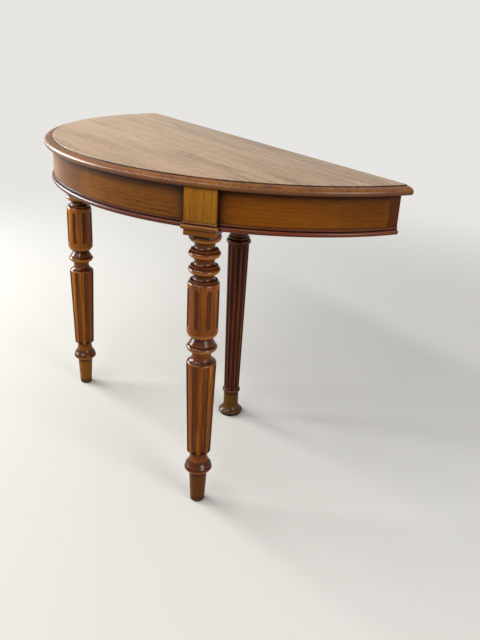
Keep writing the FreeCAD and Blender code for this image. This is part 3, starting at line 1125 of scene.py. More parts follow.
@dataclass(frozen=True)
class Flutes:
    """Hollow channels cut with a round cutter, evenly round a shaft."""

    count: int
    turn: float
    cutter: float
    depth: float
    top: Point
    foot: Point
    round_foot: bool

    def cut(self, leg: Piece) -> Piece:
        """Cut the channels into a leg whose axis is at the origin.

        Args:
            leg: The turned leg.

        Returns:
            The fluted leg.
        """
        out = self.cutter - self.depth
        top = Vector((0, -(self.top[0] + out), self.top[1]))
        foot = Vector((0, -(self.foot[0] + out), self.foot[1]))
        run = (foot - top).length
        middle = self.cutter * DIAGONAL
        outline = [(0.0, self.cutter)] + bow((0.0, self.cutter), (middle, middle), (self.cutter, 0.0))
        outline.append((self.cutter, -run))
        if self.round_foot:
            outline += bow((self.cutter, -run), (middle, -run - middle), (0.0, -run - self.cutter))
        else:
            outline.append((0.0, -run))
        cutter = Piece.lathe("cutter", outline, CUTTER_STEPS)
        lean = (-UP).rotation_difference(foot - top).to_matrix().to_4x4()
        cutter.move(Matrix.Translation(top) @ lean)
        turns = [self.turn + index * FULL_TURN / self.count for index in range(self.count)]
        cutters = [cutter.copy("cutter").move(Matrix.Rotation(turn, 4, "Z")) for turn in turns[1:]]
        cutter.move(Matrix.Rotation(turns[0], 4, "Z")).join(cutters)
        return leg.combine(cutter, Operation.CUT)


@dataclass
class HalfMoonTop:
    """Top of edge-glued boards with a stepped and rounded edge along the curve."""

    plan: Plan
    finishes: dict[str, Timber]
    step_inset: float = 0.019
    step_drop: float = 0.002
    round_height: float = 0.0085
    under_radius: float = 0.0055
    arris: float = 0.0004
    quirk: float = 0.0012

    def outline(self) -> list[Point]:
        """Follow the section of the top from the axis of the arc out to the edge and back underneath.

        Returns:
            Distances from the axis of the arc, and heights.
        """
        plan = self.plan
        step = plan.radius - self.step_inset
        ledge = plan.top - self.step_drop
        shoulder = ledge - self.round_height
        points = [(0.0, plan.top), (step - self.arris, plan.top), (step, plan.top - self.arris),
                  (step, ledge - self.quirk), (step + self.quirk / 2, ledge - self.quirk)]
        first = math.acos(self.quirk / self.step_inset)
        for index in range(ARC_STEPS + 1):
            angle = first * (1 - index / ARC_STEPS)
            points.append((step + self.step_inset * math.cos(angle),
                           shoulder + self.round_height * math.sin(angle)))
        under = plan.under_top + self.under_radius
        points.append((plan.radius, under))
        bend = self.under_radius * (1 - DIAGONAL)
        points += bow((plan.radius, under), (plan.radius - bend, plan.under_top + bend),
                      (plan.radius - self.under_radius, plan.under_top))
        return points + [(0.0, plan.under_top)]

    def along_back(self, start: Vector, end: Vector) -> bool:
        """Whether an edge lies level in the straight back."""
        at_back = min(start.y, end.y) > self.plan.back - MERGE_DISTANCE
        return at_back and abs(start.z - end.z) < MERGE_DISTANCE

    def build(self) -> None:
        """Sweep the whole top, saw it into its boards and dress them."""
        plan = self.plan
        top = Piece.hoop("top", plan, self.outline())
        top.saw(Vector((0, plan.back, 0)), TO_WALL)
        top.bevel_edges(self.along_back, self.arris)
        for name, finish in self.finishes.items():
            node = "top_" + name
            low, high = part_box(node)
            board = top.copy(name)
            if high.y < plan.back - self.under_radius:
                board.saw(high, TO_WALL)
            if low.y > plan.arc_y - plan.radius + self.under_radius:
                board.saw(low, -TO_WALL)
            board.dress(finish, "top_wood", node)
        top.discard()


@dataclass
class CurvedApron:
    """Apron in three lengths between the leg blocks and the back rail."""

    plan: Plan
    finishes: dict[str, Timber]

    def build(self) -> None:
        """Sweep the whole hoop, saw its three lengths and dress them."""
        plan = self.plan
        outer = plan.apron_radius
        inner = outer - plan.apron_thickness
        seat = outer - plan.seat_depth
        hoop = Piece.hoop("hoop", plan, [
            (inner, plan.apron_low), (seat, plan.apron_low), (seat, plan.seat_top), (outer, plan.seat_top),
            (outer, plan.under_top), (inner, plan.under_top), (inner, plan.apron_low)])
        centre = hoop.copy("apron_front")
        for side in Side:
            place = plan.at_leg(side)
            inward = place.to_3x3() @ Vector((-side.value, 0, 0))
            centre.saw(place @ plan.in_front(-side.value * plan.block_half, 0, 0), -inward)
            length = hoop.copy("apron_" + side.word + "_side")
            length.saw(place @ plan.in_front(side.value * plan.block_half, 0, 0), inward)
            length.saw(Vector((0, plan.rail_front, 0)), TO_WALL)
            node = "apron_" + side.word
            length.dress(self.finishes[node], "apron_wood", node)
        centre.dress(self.finishes["apron_centre"], "apron_wood", "apron_centre")
        hoop.discard()


@dataclass
class BeadStrips:
    """Half-round bead with its quirk and fillet, along the apron and mitred round the leg blocks."""

    plan: Plan
    finish: Timber
    straight_finish: Timber
    height: float = 0.0105
    projection: float = 0.005
    quirk: float = 0.001
    fillet_height: float = 0.0045
    fillet_projection: float = 0.0012
    arris: float = 0.0003

    def section(self, surface: float) -> list[Point]:
        """Closed section of the strip.

        Args:
            surface: Distance of the face that the strip is let into.

        Returns:
            Points of the section, the last one equal to the first.
        """
        low = self.plan.apron_low
        seat = surface - self.plan.seat_depth
        core = surface + self.projection - self.height / 2
        face = surface + self.fillet_projection
        bead_top = low + self.height
        fillet_low = bead_top + self.quirk
        top = fillet_low + self.fillet_height
        points = [(seat, low), (core, low)]
        points += bow((core, low), (surface + self.projection, low + self.height / 2), (core, bead_top))
        points += [(core, fillet_low), (face - self.arris, fillet_low), (face, fillet_low + self.arris),
                   (face, top - self.arris), (face - self.arris, top), (seat, top), (seat, low)]
        return points

    def mitre(self, side: Side, edge: int, distance: float, outward: bool) -> tuple[Vector, Vector]:
        """Plane of a mitre at a corner of a leg block.

        Args:
            side: The leg.
            edge: 1 for the block's right side and -1 for its left side, seen from the front.
            distance: Distance of the corner from the axis of the arc.
            outward: Whether the normal points away from the block's front strip.

        Returns:
            A point on the plane and its normal.
        """
        place = self.plan.at_leg(side)
        point = place @ self.plan.in_front(edge * self.plan.block_half, distance, 0)
        normal = place.to_3x3() @ Vector((edge, 1, 0)).normalized()
        return point, normal if outward else -normal

    def build_curved(self) -> None:
        """Sweep the strip along the apron and saw its three lengths."""
        plan = self.plan
        hoop = Piece.hoop("bead_hoop", plan, self.section(plan.apron_radius))
        centre = hoop.copy("bead_front")
        for side in Side:
            centre.saw(*self.mitre(side, -side.value, plan.corner, False))
            middle = plan.at_leg(side) @ plan.in_front(0, 0, 0)
            outward = plan.at_leg(side).to_3x3() @ Vector((side.value, 0, 0))
            centre.saw(middle, outward)
            length = hoop.copy("bead_" + side.word + "_side")
            length.saw(middle, -outward)
            length.saw(*self.mitre(side, side.value, plan.corner, False))
            length.saw(Vector((0, plan.rail_back, 0)), TO_WALL)
            length.dress(self.finish, "bead_wood", "bead_" + side.word)
        centre.dress(self.finish, "bead_wood", "bead_centre")
        hoop.discard()

    def build_straight(self, side: Side) -> None:
        """Push the strips round one leg block and mitre them.

        Args:
            side: The leg.
        """
        plan = self.plan
        place = plan.at_leg(side)
        length = STRIP_SPARE * plan.block_half
        points = [plan.in_front(-length / 2, r, z) for r, z in self.section(plan.facing_front)]
        front = Piece.chain(side.word + "_block_bead", points).push(Vector((length, 0, 0))).move(place)
        for edge in BLOCK_EDGES:
            front.saw(*self.mitre(side, edge, plan.facing_front, True))
        front.dress(self.straight_finish, "bead_wood", side.word + "_block_bead_front")
        for edge in BLOCK_EDGES:
            word = "outer" if edge == side.value else "inner"
            near = plan.arc_y - plan.corner + plan.seat_depth
            run = -(plan.facing_front - plan.corner + STRIP_SPARE * plan.seat_depth)
            points = [Vector((edge * s, near, z)) for s, z in self.section(plan.block_half)]
            name = side.word + "_block_bead_" + word + "_return"
            strip = Piece.chain(name, points).push(Vector((0, run, 0))).move(place)
            strip.saw(*self.mitre(side, edge, plan.facing_front, False))
            strip.saw(*self.mitre(side, edge, plan.corner, True))
            strip.dress(self.straight_finish, "bead_wood", side.word + "_block_bead_" + word)

    def build(self) -> None:
        """Make every strip."""
        self.build_curved()
        for side in Side:
            self.build_straight(side)


@dataclass
class FrontLeg:
    """Turned front leg with its square block and the facing on it."""

    plan: Plan
    finishes: dict[Side, Timber]
    facing_finish: Timber
    arris: float = 0.0007
    upper_rings: int = 2
    disc_radius: float = 0.033
    disc_edge: float = 0.029
    disc_height: float = 0.0185
    neck: float = 0.0205
    neck_end: float = 0.024
    neck_height: float = 0.015
    lip: float = 0.028
    lip_height: float = 0.002
    ring: float = 0.033
    ring_seat: float = 0.0248
    ring_upper: float = 0.0065
    ring_lower: float = 0.010
    drum_neck: float = 0.0125
    drum_lip: float = 0.0285
    drum_seat: float = 0.027
    drum: float = 0.033
    drum_shoulder: float = 0.007
    drum_length: float = 0.105
    drum_foot: float = 0.015
    drum_cone: float = 0.0118
    shaft_neck: float = 0.022
    shaft_top: float = 0.0322
    shaft_foot: float = 0.0262
    shaft_shoulder: float = 0.006
    ankle_neck: float = 0.0345
    low_lip: float = 0.0285
    low_ring_seat: float = 0.027
    low_ring: float = 0.031
    low_ring_upper: float = 0.009
    low_ring_lower: float = 0.008
    ankle: float = 0.020
    ankle_height: float = 0.008
    foot_length: float = 0.073
    foot: float = 0.0163
    foot_round: float = 0.003
    flute_count: int = 8
    flute_turn: float = math.radians(-6)
    drum_flute: Point = (0.005, 0.0032)
    drum_flute_margin: float = 0.0115
    drum_flute_foot: float = 0.0165
    shaft_flute: Point = (0.007, 0.0038)
    shaft_flute_margin: float = 0.0045

    def add_ring(self, turning: Turning) -> None:
        """Go on with a lip, its quirk and a ring.

        Args:
            turning: The outline so far.
        """
        turning.straight(self.lip, self.lip_height)
        turning.straight(self.ring_seat, 0)
        turning.bulge(self.ring, self.neck_end, self.ring_upper, self.ring_lower)

    def turned(self) -> Piece:
        """Turn the leg below its block and cut the flutes.

        Returns:
            The leg, with its axis through the origin.
        """
        turning = Turning(self.disc_edge, self.plan.block_low)
        turning.curved(self.disc_radius, self.neck_end, self.disc_height)
        for _ in range(self.upper_rings):
            turning.curved(self.neck, self.lip, self.neck_height)
            self.add_ring(turning)
        turning.curved(self.neck, self.drum_lip, self.drum_neck)
        turning.straight(self.drum_lip, self.lip_height)
        turning.straight(self.drum_seat, 0)
        turning.shoulder(self.drum_seat, self.drum, self.drum_shoulder)
        drum_top = turning.height
        turning.straight(self.drum, self.drum_length)
        drum_low = turning.height
        turning.round_in(self.drum, self.neck, self.drum_foot)
        turning.straight(self.lip, self.drum_cone)
        self.add_ring(turning)
        turning.curved(self.neck, self.lip, self.shaft_neck)
        turning.shoulder(self.lip, self.shaft_top, self.shaft_shoulder)
        shaft_top = turning.height
        low_ring_height = self.low_ring_upper + self.low_ring_lower
        below = self.ankle_neck + self.lip_height + low_ring_height + self.ankle_height + self.foot_length
        turning.straight(self.shaft_foot, shaft_top - below)
        turning.straight(self.neck, 0)
        turning.curved(self.ankle, self.low_lip, self.ankle_neck)
        turning.straight(self.low_lip, self.lip_height)
        turning.straight(self.low_ring_seat, 0)
        turning.bulge(self.low_ring, self.ankle, self.low_ring_upper, self.low_ring_lower)
        turning.straight(self.ankle, self.ankle_height)
        turning.straight(self.foot, self.foot_length - self.foot_round)
        turning.straight(self.foot - self.foot_round, self.foot_round)
        leg = turning.turned("front_leg")
        drum_flutes = Flutes(self.flute_count, self.flute_turn, *self.drum_flute,
                             (self.drum, drum_top - self.drum_flute_margin),
                             (self.drum, drum_low + self.drum_flute_foot), True)
        margin = self.shaft_flute_margin
        taper = (self.shaft_top - self.shaft_foot) / (shaft_top - below)
        shaft_flutes = Flutes(self.flute_count, self.flute_turn, *self.shaft_flute,
                              (self.shaft_top - taper * margin, shaft_top - margin),
                              (self.shaft_foot, below), False)
        return shaft_flutes.cut(drum_flutes.cut(leg))

    def block(self) -> Piece:
        """Make the square block at the middle of the front, with seats for the bead's returns.

        Returns:
            The block.
        """
        plan = self.plan
        half = plan.block_half
        near = plan.in_front(-half, plan.block_front, plan.block_low)
        far = plan.in_front(half, plan.leg_radius - half, plan.under_top)
        block = Piece.box("block", near, far).soften(self.arris)
        for edge in BLOCK_EDGES:
            sides = sorted((edge * (half - plan.seat_depth), edge * (half + plan.seat_depth)))
            low = plan.in_front(sides[0], plan.block_front + plan.seat_depth, plan.apron_low)
            high = plan.in_front(sides[1], plan.corner, plan.seat_top)
            block.combine(Piece.box("seat", low, high), Operation.CUT)
        return block

    def facing(self) -> Piece:
        """Make the facing at the middle of the front, with a seat for the bead strip.

        Returns:
            The facing.
        """
        plan = self.plan
        back, front = plan.block_front, plan.facing_front
        seat = front - plan.seat_depth
        section = [(back, plan.block_low), (front, plan.block_low), (front, plan.apron_low),
                   (seat, plan.apron_low), (seat, plan.seat_top), (front, plan.seat_top),
                   (front, plan.under_top), (back, plan.under_top), (back, plan.block_low)]
        points = [plan.in_front(-plan.block_half, distance, height) for distance, height in section]
        facing = Piece.chain("facing", points).push(Vector((2 * plan.block_half, 0, 0)))
        return facing.soften(self.arris)

    def build(self) -> None:
        """Make one leg and one facing, and set a copy of each at both places."""
        plan = self.plan
        leg = self.turned().move(Matrix.Translation(plan.in_front(0, plan.leg_radius, 0)))
        leg = self.block().combine(leg, Operation.UNITE)
        facing = self.facing()
        for side in Side:
            place = plan.at_leg(side)
            one = leg.copy("turned_leg_" + side.word).move(place)
            one.dress(self.finishes[side], "leg_wood", "front_" + side.word + "_leg")
            front = facing.copy("facing_" + side.word).move(place)
            front.dress(self.facing_finish, "facing_wood", side.word + "_block_facing")
        for piece in (leg, facing):
            piece.discard()


@dataclass
class BackLeg:
    """Slender back leg of another pattern, under the back rail."""

    plan: Plan
    finish: Timber
    arris: float = 0.0008
    block_height: float = 0.145
    disc_edge: float = 0.029
    disc_radius: float = 0.033
    collar_height: float = 0.015
    neck_end: float = 0.024
    neck: float = 0.022
    neck_height: float = 0.052
    bead: float = 0.028
    bead_height: float = 0.008
    ring: float = 0.032
    ring_height: float = 0.011
    shaft_top: float = 0.0275
    shaft_foot: float = 0.021
    ankle_ring: float = 0.0246
    ankle_ring_height: float = 0.011
    shank: float = 0.0205
    shank_height: float = 0.038
    flare_middle: float = 0.0235
    flare_height: float = 0.017
    flange_edge: float = 0.031
    flange: float = 0.033
    flange_height: float = 0.009
    sole_edge: float = 0.0305
    sole: float = 0.029
    sole_height: float = 0.004
    flute_count: int = 12
    flute: Point = (0.0042, 0.0024)
    flute_margin: float = 0.008

    def build(self) -> None:
        """Turn the leg, cut its flutes, set it under its block and dress it."""
        plan = self.plan
        turning = Turning(self.disc_edge, plan.under_top - self.block_height)
        turning.curved(self.disc_radius, self.neck_end, self.collar_height)
        turning.curved(self.neck, self.neck_end, self.neck_height)
        turning.curved(self.bead, self.neck_end, self.bead_height)
        turning.curved(self.ring, self.neck_end, self.ring_height)
        turning.straight(self.shaft_top, 0)
        shaft_top = turning.height
        foot_height = self.flare_height + self.flange_height + self.sole_height
        below = self.ankle_ring_height + self.shank_height + foot_height
        turning.straight(self.shaft_foot, shaft_top - below)
        turning.curved(self.ankle_ring, self.shank, self.ankle_ring_height)
        turning.straight(self.shank, self.shank_height)
        turning.curved(self.flare_middle, self.flange_edge, self.flare_height)
        turning.curved(self.flange, self.sole_edge, self.flange_height)
        turning.straight(self.sole, self.sole_height)
        inset = (self.shaft_top - self.shaft_foot) / (shaft_top - below) * self.flute_margin
        flutes = Flutes(self.flute_count, 0.0, *self.flute,
                        (self.shaft_top - inset, shaft_top - self.flute_margin),
                        (self.shaft_foot + inset, below + self.flute_margin), True)
        leg = flutes.cut(turning.turned("back_leg_turning"))
        half = plan.block_half
        block = Piece.box("turned_leg_back", Vector((-half, -half, plan.under_top - self.block_height)),
                          Vector((half, half, plan.under_top))).soften(self.arris)
        block.combine(leg, Operation.UNITE).move(Matrix.Translation((plan.back_leg.x, plan.back_leg.y, 0)))
        block.dress(self.finish, "back_leg_wood", "back_leg")


@dataclass
class InnerFrame:
    """Plain pieces behind the apron and under the top."""

    finishes: dict[str, tuple[Timber, str]]
    arris: float = 0.0008

    def build(self) -> None:
        """Copy the plain pieces, round their edges and dress them."""
        for node, (finish, slot) in self.finishes.items():
            Piece.from_node(node + "_planed", node).soften(self.arris).dress(finish, slot, node)


@dataclass
class Screws:
    """Slotted round-headed wood screws."""

    finish: Metal
    radius: float = 0.0022
    head: float = 0.0046
    head_height: float = 0.0028
    slot_width: float = 0.0009
    slot_depth: float = 0.0012
    tip: float = 0.004
    dome: Point = (0.8, 0.75)

    def screw(self, length: float) -> Piece:
        """Make one screw: shank up from the origin, domed and slotted head below.

        Args:
            length: Length of the shank with its tip.

        Returns:
            The screw.
        """
        dome = (self.head * self.dome[0], -self.head_height * self.dome[1])
        outline = [(0.0, length), (self.radius, length - self.tip), (self.radius, 0.0), (self.head, 0.0)]
        outline += bow((self.head, 0.0), dome, (0.0, -self.head_height))
        half = self.slot_width / 2
        low = Vector((-half, -2 * self.head, -2 * self.head_height))
        high = Vector((half, 2 * self.head, self.slot_depth - self.head_height))
        screw = Piece.lathe("screw", outline, CUTTER_STEPS)
        return screw.combine(Piece.box("slot", low, high), Operation.CUT)

    def build(self) -> None:
        """Set the screws of each node where its solids are, each with its slot turned another way."""
        for node, way in (("top_screws", UP), ("back_leg_screws", Vector((1, 0, 0)))):
            heads = self.islands(node)
            length = max((high - low).dot(way) for low, high in heads) - self.head_height
            pattern = self.screw(length)
            lean = UP.rotation_difference(way).to_matrix().to_4x4()
            copies = []
            for index, (low, high) in enumerate(heads):
                middle = (low + high) / 2
                place = middle + way * (low.dot(way) + self.head_height - middle.dot(way))
                turn = Matrix.Rotation(index, 4, "Z")
                copies.append(pattern.copy("screw").move(Matrix.Translation(place) @ lean @ turn))
            group = Piece(copies[0].obj, node + "_slotted").join(copies[1:])
            group.dress(self.finish, "screw_steel", node)
            pattern.discard()

    @staticmethod
    def islands(node: str) -> list[tuple[Vector, Vector]]:
        """Boxes of the separate solids of a node.

        Args:
            node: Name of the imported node.

        Returns:
            Lowest and highest corner of each solid.
        """
        mesh = bmesh.new()
        mesh.from_mesh(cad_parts[node].data)
        bmesh.ops.remove_doubles(mesh, verts=mesh.verts, dist=MERGE_DISTANCE)
        left = set(mesh.verts)
        boxes = []
        while left:
            group = [left.pop()]
            for vert in group:
                for edge in vert.link_edges:
                    other = edge.other_vert(vert)
                    if other in left:
                        left.remove(other)
                        group.append(other)
            corners = [[pick(vert.co[axis] for vert in group) for axis in range(3)] for pick in (min, max)]
            boxes.append((Vector(corners[0]), Vector(corners[1])))
        mesh.free()
        return sorted(boxes, key=lambda box: tuple(box[0]))


@dataclass(frozen=True)
class Lamp:
    """A soft lamp."""

    name: str
    place: Vector
    size: Point
    power: float

    def hang(self, target: Vector) -> None:
        """Hang the lamp at its place.

        Args:
            target: What it faces.
        """
        Piece.clear()
        bpy.ops.object.light_add(type="AREA", location=self.place)
        lamp = bpy.context.object
        lamp.name = self.name
        lamp.data.shape = "RECTANGLE"
        lamp.data.size, lamp.data.size_y = self.size
        lamp.data.energy = self.power
        lamp.rotation_euler = (target - self.place).to_track_quat("-Z", "Y").to_euler()


@dataclass
class Studio:
    """Plain pale floor, soft light, and the camera."""

    eye: Vector = Vector((1.4501, -0.7766, 1.0143))
    yaw: float = math.radians(52.56)
    pitch: float = math.radians(23.10)
    roll: float = math.radians(4.06)
    focal_pixels: float = 690.15
    middle_right: float = 26.97
    middle_down: float = 2.37
    image_height: float = 640.0
    sensor: float = 36.0
    floor_radius: float = 40.0
    floor_sides: int = 64
    floor_roughness: float = 0.9
    floor_gloss: float = 0.1
    haze_start: float = 0.8
    haze_end: float = 3.2
    floor_colour: Colour = (0.56, 0.55, 0.52)
    floor_bounce: Colour = (0.34, 0.33, 0.30)
    ambient: float = 0.32
    daylight: Colour = (1.0, 0.985, 0.96)
    mirrored: float = 0.5
    sky: Colour = (0.80, 0.79, 0.76)
    target: Vector = Vector((0, 0, 0.5))
    lamps: tuple[Lamp, ...] = (
        Lamp("window", Vector((-2.8, -1.8, 1.7)), (2.6, 1.0), 215.0),
        Lamp("ceiling", Vector((0.3, -2.1, 2.9)), (3.2, 0.25), 59.0),
        Lamp("room", Vector((2.6, 0.3, 1.6)), (1.0, 1.0), 34.0),
    )

    def build_floor(self) -> None:
        """Wide pale floor under the feet."""
        Piece.clear()
        bpy.ops.mesh.primitive_circle_add(
            vertices=self.floor_sides, radius=self.floor_radius, fill_type="NGON")
        floor = bpy.context.object
        floor.name = "floor"
        recipe = Recipe(bpy.data.materials.new("pale_floor"))
        seen = recipe.number("ShaderNodeLightPath", {}, {}, "Is Camera Ray")
        colour = recipe.blend(seen, self.floor_bounce, self.floor_colour)
        surface = recipe.node("ShaderNodeBsdfPrincipled", {}, {
            "Base Color": colour, "Roughness": self.floor_roughness, "Specular IOR Level": self.floor_gloss})
        haze = recipe.node("ShaderNodeEmission", {}, {"Color": opaque(self.sky)})
        place = recipe.node("ShaderNodeTexCoord", {}, {}).outputs[Reading.PLACE.value]
        distance = recipe.number("ShaderNodeVectorMath", {"operation": "LENGTH"}, {0: place}, "Value")
        mix = recipe.node("ShaderNodeMixShader", {}, {
            0: distance.eased(self.haze_start, self.haze_end), 1: surface.outputs[0], 2: haze.outputs[0]})
        recipe.node("ShaderNodeOutputMaterial", {}, {"Surface": mix.outputs[0]})
        floor.data.materials.append(recipe.owner)

    def build_world(self) -> None:
        """Even light from all round; the camera and, in part, polished faces see a pale backdrop."""
        recipe = Recipe(bpy.data.worlds.new("studio"))
        rays = recipe.node("ShaderNodeLightPath", {}, {}).outputs
        seen = Flow(recipe, rays["Is Glossy Ray"]) * self.mirrored + Flow(recipe, rays["Is Camera Ray"])
        light = recipe.node("ShaderNodeBackground", {}, {
            "Color": opaque(self.daylight), "Strength": self.ambient})
        backdrop = recipe.node("ShaderNodeBackground", {}, {"Color": opaque(self.sky)})
        mix = recipe.node("ShaderNodeMixShader", {}, {0: seen, 1: light.outputs[0], 2: backdrop.outputs[0]})
        recipe.node("ShaderNodeOutputWorld", {}, {"Surface": mix.outputs[0]})
        bpy.context.scene.world = recipe.owner

    def build_camera(self) -> None:
        """Stand the camera where the table is seen from."""
        cos_yaw, sin_yaw = math.cos(self.yaw), math.sin(self.yaw)
        cos_pitch, sin_pitch = math.cos(self.pitch), math.sin(self.pitch)
        ahead = Vector((-sin_yaw * cos_pitch, cos_yaw * cos_pitch, -sin_pitch))
        level = Vector((cos_yaw, sin_yaw, 0))
        upward = level.cross(ahead)
        right = math.cos(self.roll) * level + math.sin(self.roll) * upward
        up = math.cos(self.roll) * upward - math.sin(self.roll) * level
        camera = bpy.data.cameras.new("view")
        camera.sensor_width = self.sensor
        camera.lens = self.focal_pixels * self.sensor / self.image_height
        camera.shift_x = -self.middle_right / self.image_height
        camera.shift_y = self.middle_down / self.image_height
        obj = bpy.data.objects.new("view", camera)
        obj.matrix_world = Matrix.Translation(self.eye) @ Matrix((right, up, -ahead)).transposed().to_4x4()
        bpy.context.scene.collection.objects.link(obj)
        bpy.context.scene.camera = obj

    def build(self) -> None:
        """Set up the whole studio."""
        self.build_floor()
        self.build_world()
        for lamp in self.lamps:
            lamp.hang(self.target)
        self.build_camera()
        bpy.context.scene.view_settings.view_transform = "Standard"
        log.info("studio: floor, lamps and camera")


PLAN = Plan.from_frame()

SHADOW_LINE = linear(52, 24, 8)


def top_timber(name: str, seed: float, heart: Point) -> Timber:
    """Brown wood of the top, faded on its upper face, which also carries painted sheen and painted light that
    falls off to the right.

    Args:
        name: Name of the material.
        seed: Shift along the grain, so that no two boards look alike.
        heart: Middle of the year rings, across the board and above its face.

    Returns:
        The finish.
    """
    return Timber(
        name, Grain.ALONG_BACK, dark=linear(86, 44, 6), middle=linear(120, 69, 12), light=linear(148, 92, 28),
        line=SHADOW_LINE, worn_lit_edge=linear(180, 130, 84), seed=seed, heart=heart, roughness=0.34, gloss=0.45,
        streak_share=0.9, patch_share=0.9, fleck_share=0.95, ring_share=0.2, faded_sheen=linear(190, 162, 130),
        faded_sheen_share=0.78, faded_sheen_figure=1.0, painted_light_lean=0.38, pore_share=0.3,
        painted_shade_share=0.9, painted_shade_reach=0.006, stain=linear(86, 44, 10), stain_share=0.75,
        stain_height=PLAN.under_top + 0.0075, stain_blur=0.006,
        hollow=linear(36, 15, 6), hollow_share=0.95, hollow_reach=0.008, hollow_gaps=0.6)


def apron_timber(name: str, seed: float, middle: Colour, band: float) -> Timber:
    """Warm orange-brown wood of the apron.

    Args:
        name: Name of the material.
        seed: Shift along the grain.
        middle: Main colour.
        band: How far down the painted shade under the overhang reaches.

    Returns:
        The finish.
    """
    # Its line colour also turns the painted shade under the overhang a deep red.
    return Timber(
        name, Grain.ROUND_FRONT, dark=linear(90, 44, 0), middle=middle, light=linear(166, 108, 20),
        line=linear(56, 12, 0), worn_lit_edge=linear(172, 120, 58), seed=seed, heart=(PLAN.apron_low, 0.44),
        speck_share=0.8, streak_share=0.35, patch_share=0.5, fleck_share=0.6, roughness=0.36, gloss=0.1,
        painted_shade_share=0.97, painted_shade_reach=band, painted_shade_range=(0.03, 0.36))


def leg_timber(name: str, seed: float, heart: Point, middle: Colour, stain: Colour) -> Timber:
    """Polished wood of the front legs.

    Args:
        name: Name of the material.
        seed: Shift along the grain.
        heart: Middle of the year rings, in plan.
        middle: Main colour.
        stain: Colour of the foot.

    Returns:
        The finish.
    """
    return Timber(
        name, Grain.UPRIGHT, dark=linear(86, 36, 0), middle=middle, light=linear(168, 102, 18),
        line=SHADOW_LINE, worn_lit_edge=linear(186, 128, 66), seed=seed, heart=heart, roughness=0.2, gloss=0.27,
        streak_share=1.2, patch_share=1.0, painted_shade_share=0.9, painted_shade_reach=0.016,
        hollow=linear(64, 24, 8), hollow_share=0.75, ripple_share=2.0, worn_lit_share=0.5,
        # Ledge: painted shade with old wax on upper sides. Under: painted light on the undersides.
        ledge=linear(48, 20, 15), ledge_shade_share=0.8, ankle_ledge_shade=0.45, under=linear(172, 112, 42),
        underside_light_share=0.7, stain=stain, stain_share=0.8, stain_height=0.081, foot_height=0.012,
        foot_colour=linear(150, 104, 36))


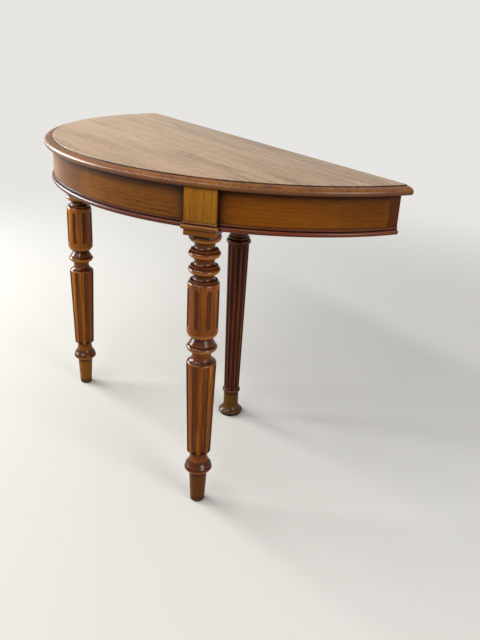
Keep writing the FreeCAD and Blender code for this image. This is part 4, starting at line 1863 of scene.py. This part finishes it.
def main() -> None:
    """Build the table piece by piece, then the studio."""
    logging.basicConfig(level=logging.INFO, format="%(message)s")
    HalfMoonTop(PLAN, {
        "back_board": top_timber("faded_back_board", 0.0, (0.17, -0.09)),
        "middle_board": top_timber("faded_middle_board", 3.1, (0.02, -0.06)),
        "front_board": top_timber("faded_front_board", 7.7, (-0.2, -0.10)),
    }).build()
    CurvedApron(PLAN, {
        # Main colours differ as painted light: the right length is darker than the front and left ones.
        "apron_left": apron_timber("left_apron_wood", 0.4, linear(130, 78, 5), 0.05),
        "apron_centre": replace(
            apron_timber("front_apron_wood", 5.3, linear(137, 80, 1), 0.09), end_shade_way=Way.ALONG_BACK,
            end_shade_share=0.32, end_shade_span=(-0.1, 0.26), gloss=0.2, roughness=0.2),
        "apron_right": replace(
            apron_timber("right_apron_wood", 9.2, linear(118, 64, 1), 0.06), end_shade_share=0.35),
    }).build()
    curved_bead = Timber(
        "curved_bead_wood", Grain.ROUND_FRONT, dark=linear(62, 22, 8), middle=linear(92, 38, 14),
        light=linear(124, 64, 28), line=linear(36, 14, 6), worn_lit_edge=linear(156, 100, 58), streak_share=1.2,
        roughness=0.3, gloss=0.25, hollow=linear(24, 6, 2), hollow_share=0.95, hollow_reach=0.006)
    block_bead = Timber(
        "block_bead_wood", Grain.ROUND_FRONT, dark=linear(96, 52, 14), middle=linear(132, 80, 24),
        light=linear(166, 112, 44), line=linear(36, 14, 6), worn_lit_edge=linear(186, 130, 76), seed=2.0,
        streak_share=1.2, roughness=0.28, gloss=0.25, hollow=linear(30, 12, 6), hollow_share=0.95,
        hollow_reach=0.004)
    BeadStrips(PLAN, curved_bead, block_bead).build()
    # The facing's pale worn arrises are partly a painted highlight.
    facing_wood = Timber(
        "golden_facing_wood", Grain.UPRIGHT, dark=linear(106, 62, 6), middle=linear(136, 86, 12),
        light=linear(162, 110, 30), line=SHADOW_LINE, worn_lit_edge=linear(204, 152, 108), heart=(0.0, 0.0),
        streak_share=1.1, worn_lit_share=0.6, stain=linear(104, 56, 14), stain_share=0.8,
        stain_height=PLAN.apron_low, roughness=0.38, gloss=0.15)
    FrontLeg(PLAN, {
        Side.LEFT: leg_timber("left_leg_wood", 1.7, (-0.30, -0.04), linear(138, 73, 2), linear(124, 80, 10)),
        Side.RIGHT: leg_timber("right_leg_wood", 4.9, (0.38, -0.06), linear(120, 61, 0), linear(84, 45, 0)),
    }, facing_wood).build()
    BackLeg(PLAN, Timber(
        "dark_back_leg_wood", Grain.UPRIGHT, dark=linear(60, 22, 10), middle=linear(98, 46, 24),
        light=linear(132, 74, 44), line=linear(26, 10, 7), worn_lit_edge=linear(156, 102, 70), heart=(0.02, 0.2),
        streak_share=1.2, roughness=0.22, gloss=0.16, painted_shade_share=0.6, hollow=linear(18, 6, 3),
        # Its ledges carry painted shade like the front legs'.
        hollow_share=0.95, hollow_reach=0.012, ledge=linear(36, 18, 16), ledge_shade_share=0.5, worn_lit_share=0.6,
        foot_height=0.08, foot_blur=0.12, foot_colour=linear(84, 58, 18))).build()
    frame_wood = Timber(
        "planed_frame_wood", Grain.ALONG_BACK, dark=linear(128, 90, 52), middle=linear(160, 118, 74),
        light=linear(184, 144, 98), line=linear(84, 52, 28), worn_lit_edge=linear(190, 150, 104), roughness=0.7,
        gloss=0.1, bump=0.3)
    # Darker than the apron wood in the same slot: painted shade at the wall.
    rail_wood = Timber(
        "back_rail_wood", Grain.ALONG_BACK, dark=linear(54, 18, 0), middle=linear(84, 38, 0),
        light=linear(112, 60, 6), line=SHADOW_LINE, worn_lit_edge=linear(160, 104, 46), heart=(0.24, -0.05),
        roughness=0.5, gloss=0.1, bump=0.25)
    frame_nodes = ("cross_bearer", "glue_blocks", "left_corner_block", "right_corner_block")
    InnerFrame({"back_rail": (rail_wood, "apron_wood"),
                **{node: (frame_wood, "frame_wood") for node in frame_nodes}}).build()
    Screws(Metal("dull_steel", linear(150, 146, 140), linear(92, 78, 66))).build()
    Studio().build()


if __name__ == "__main__":
    main()
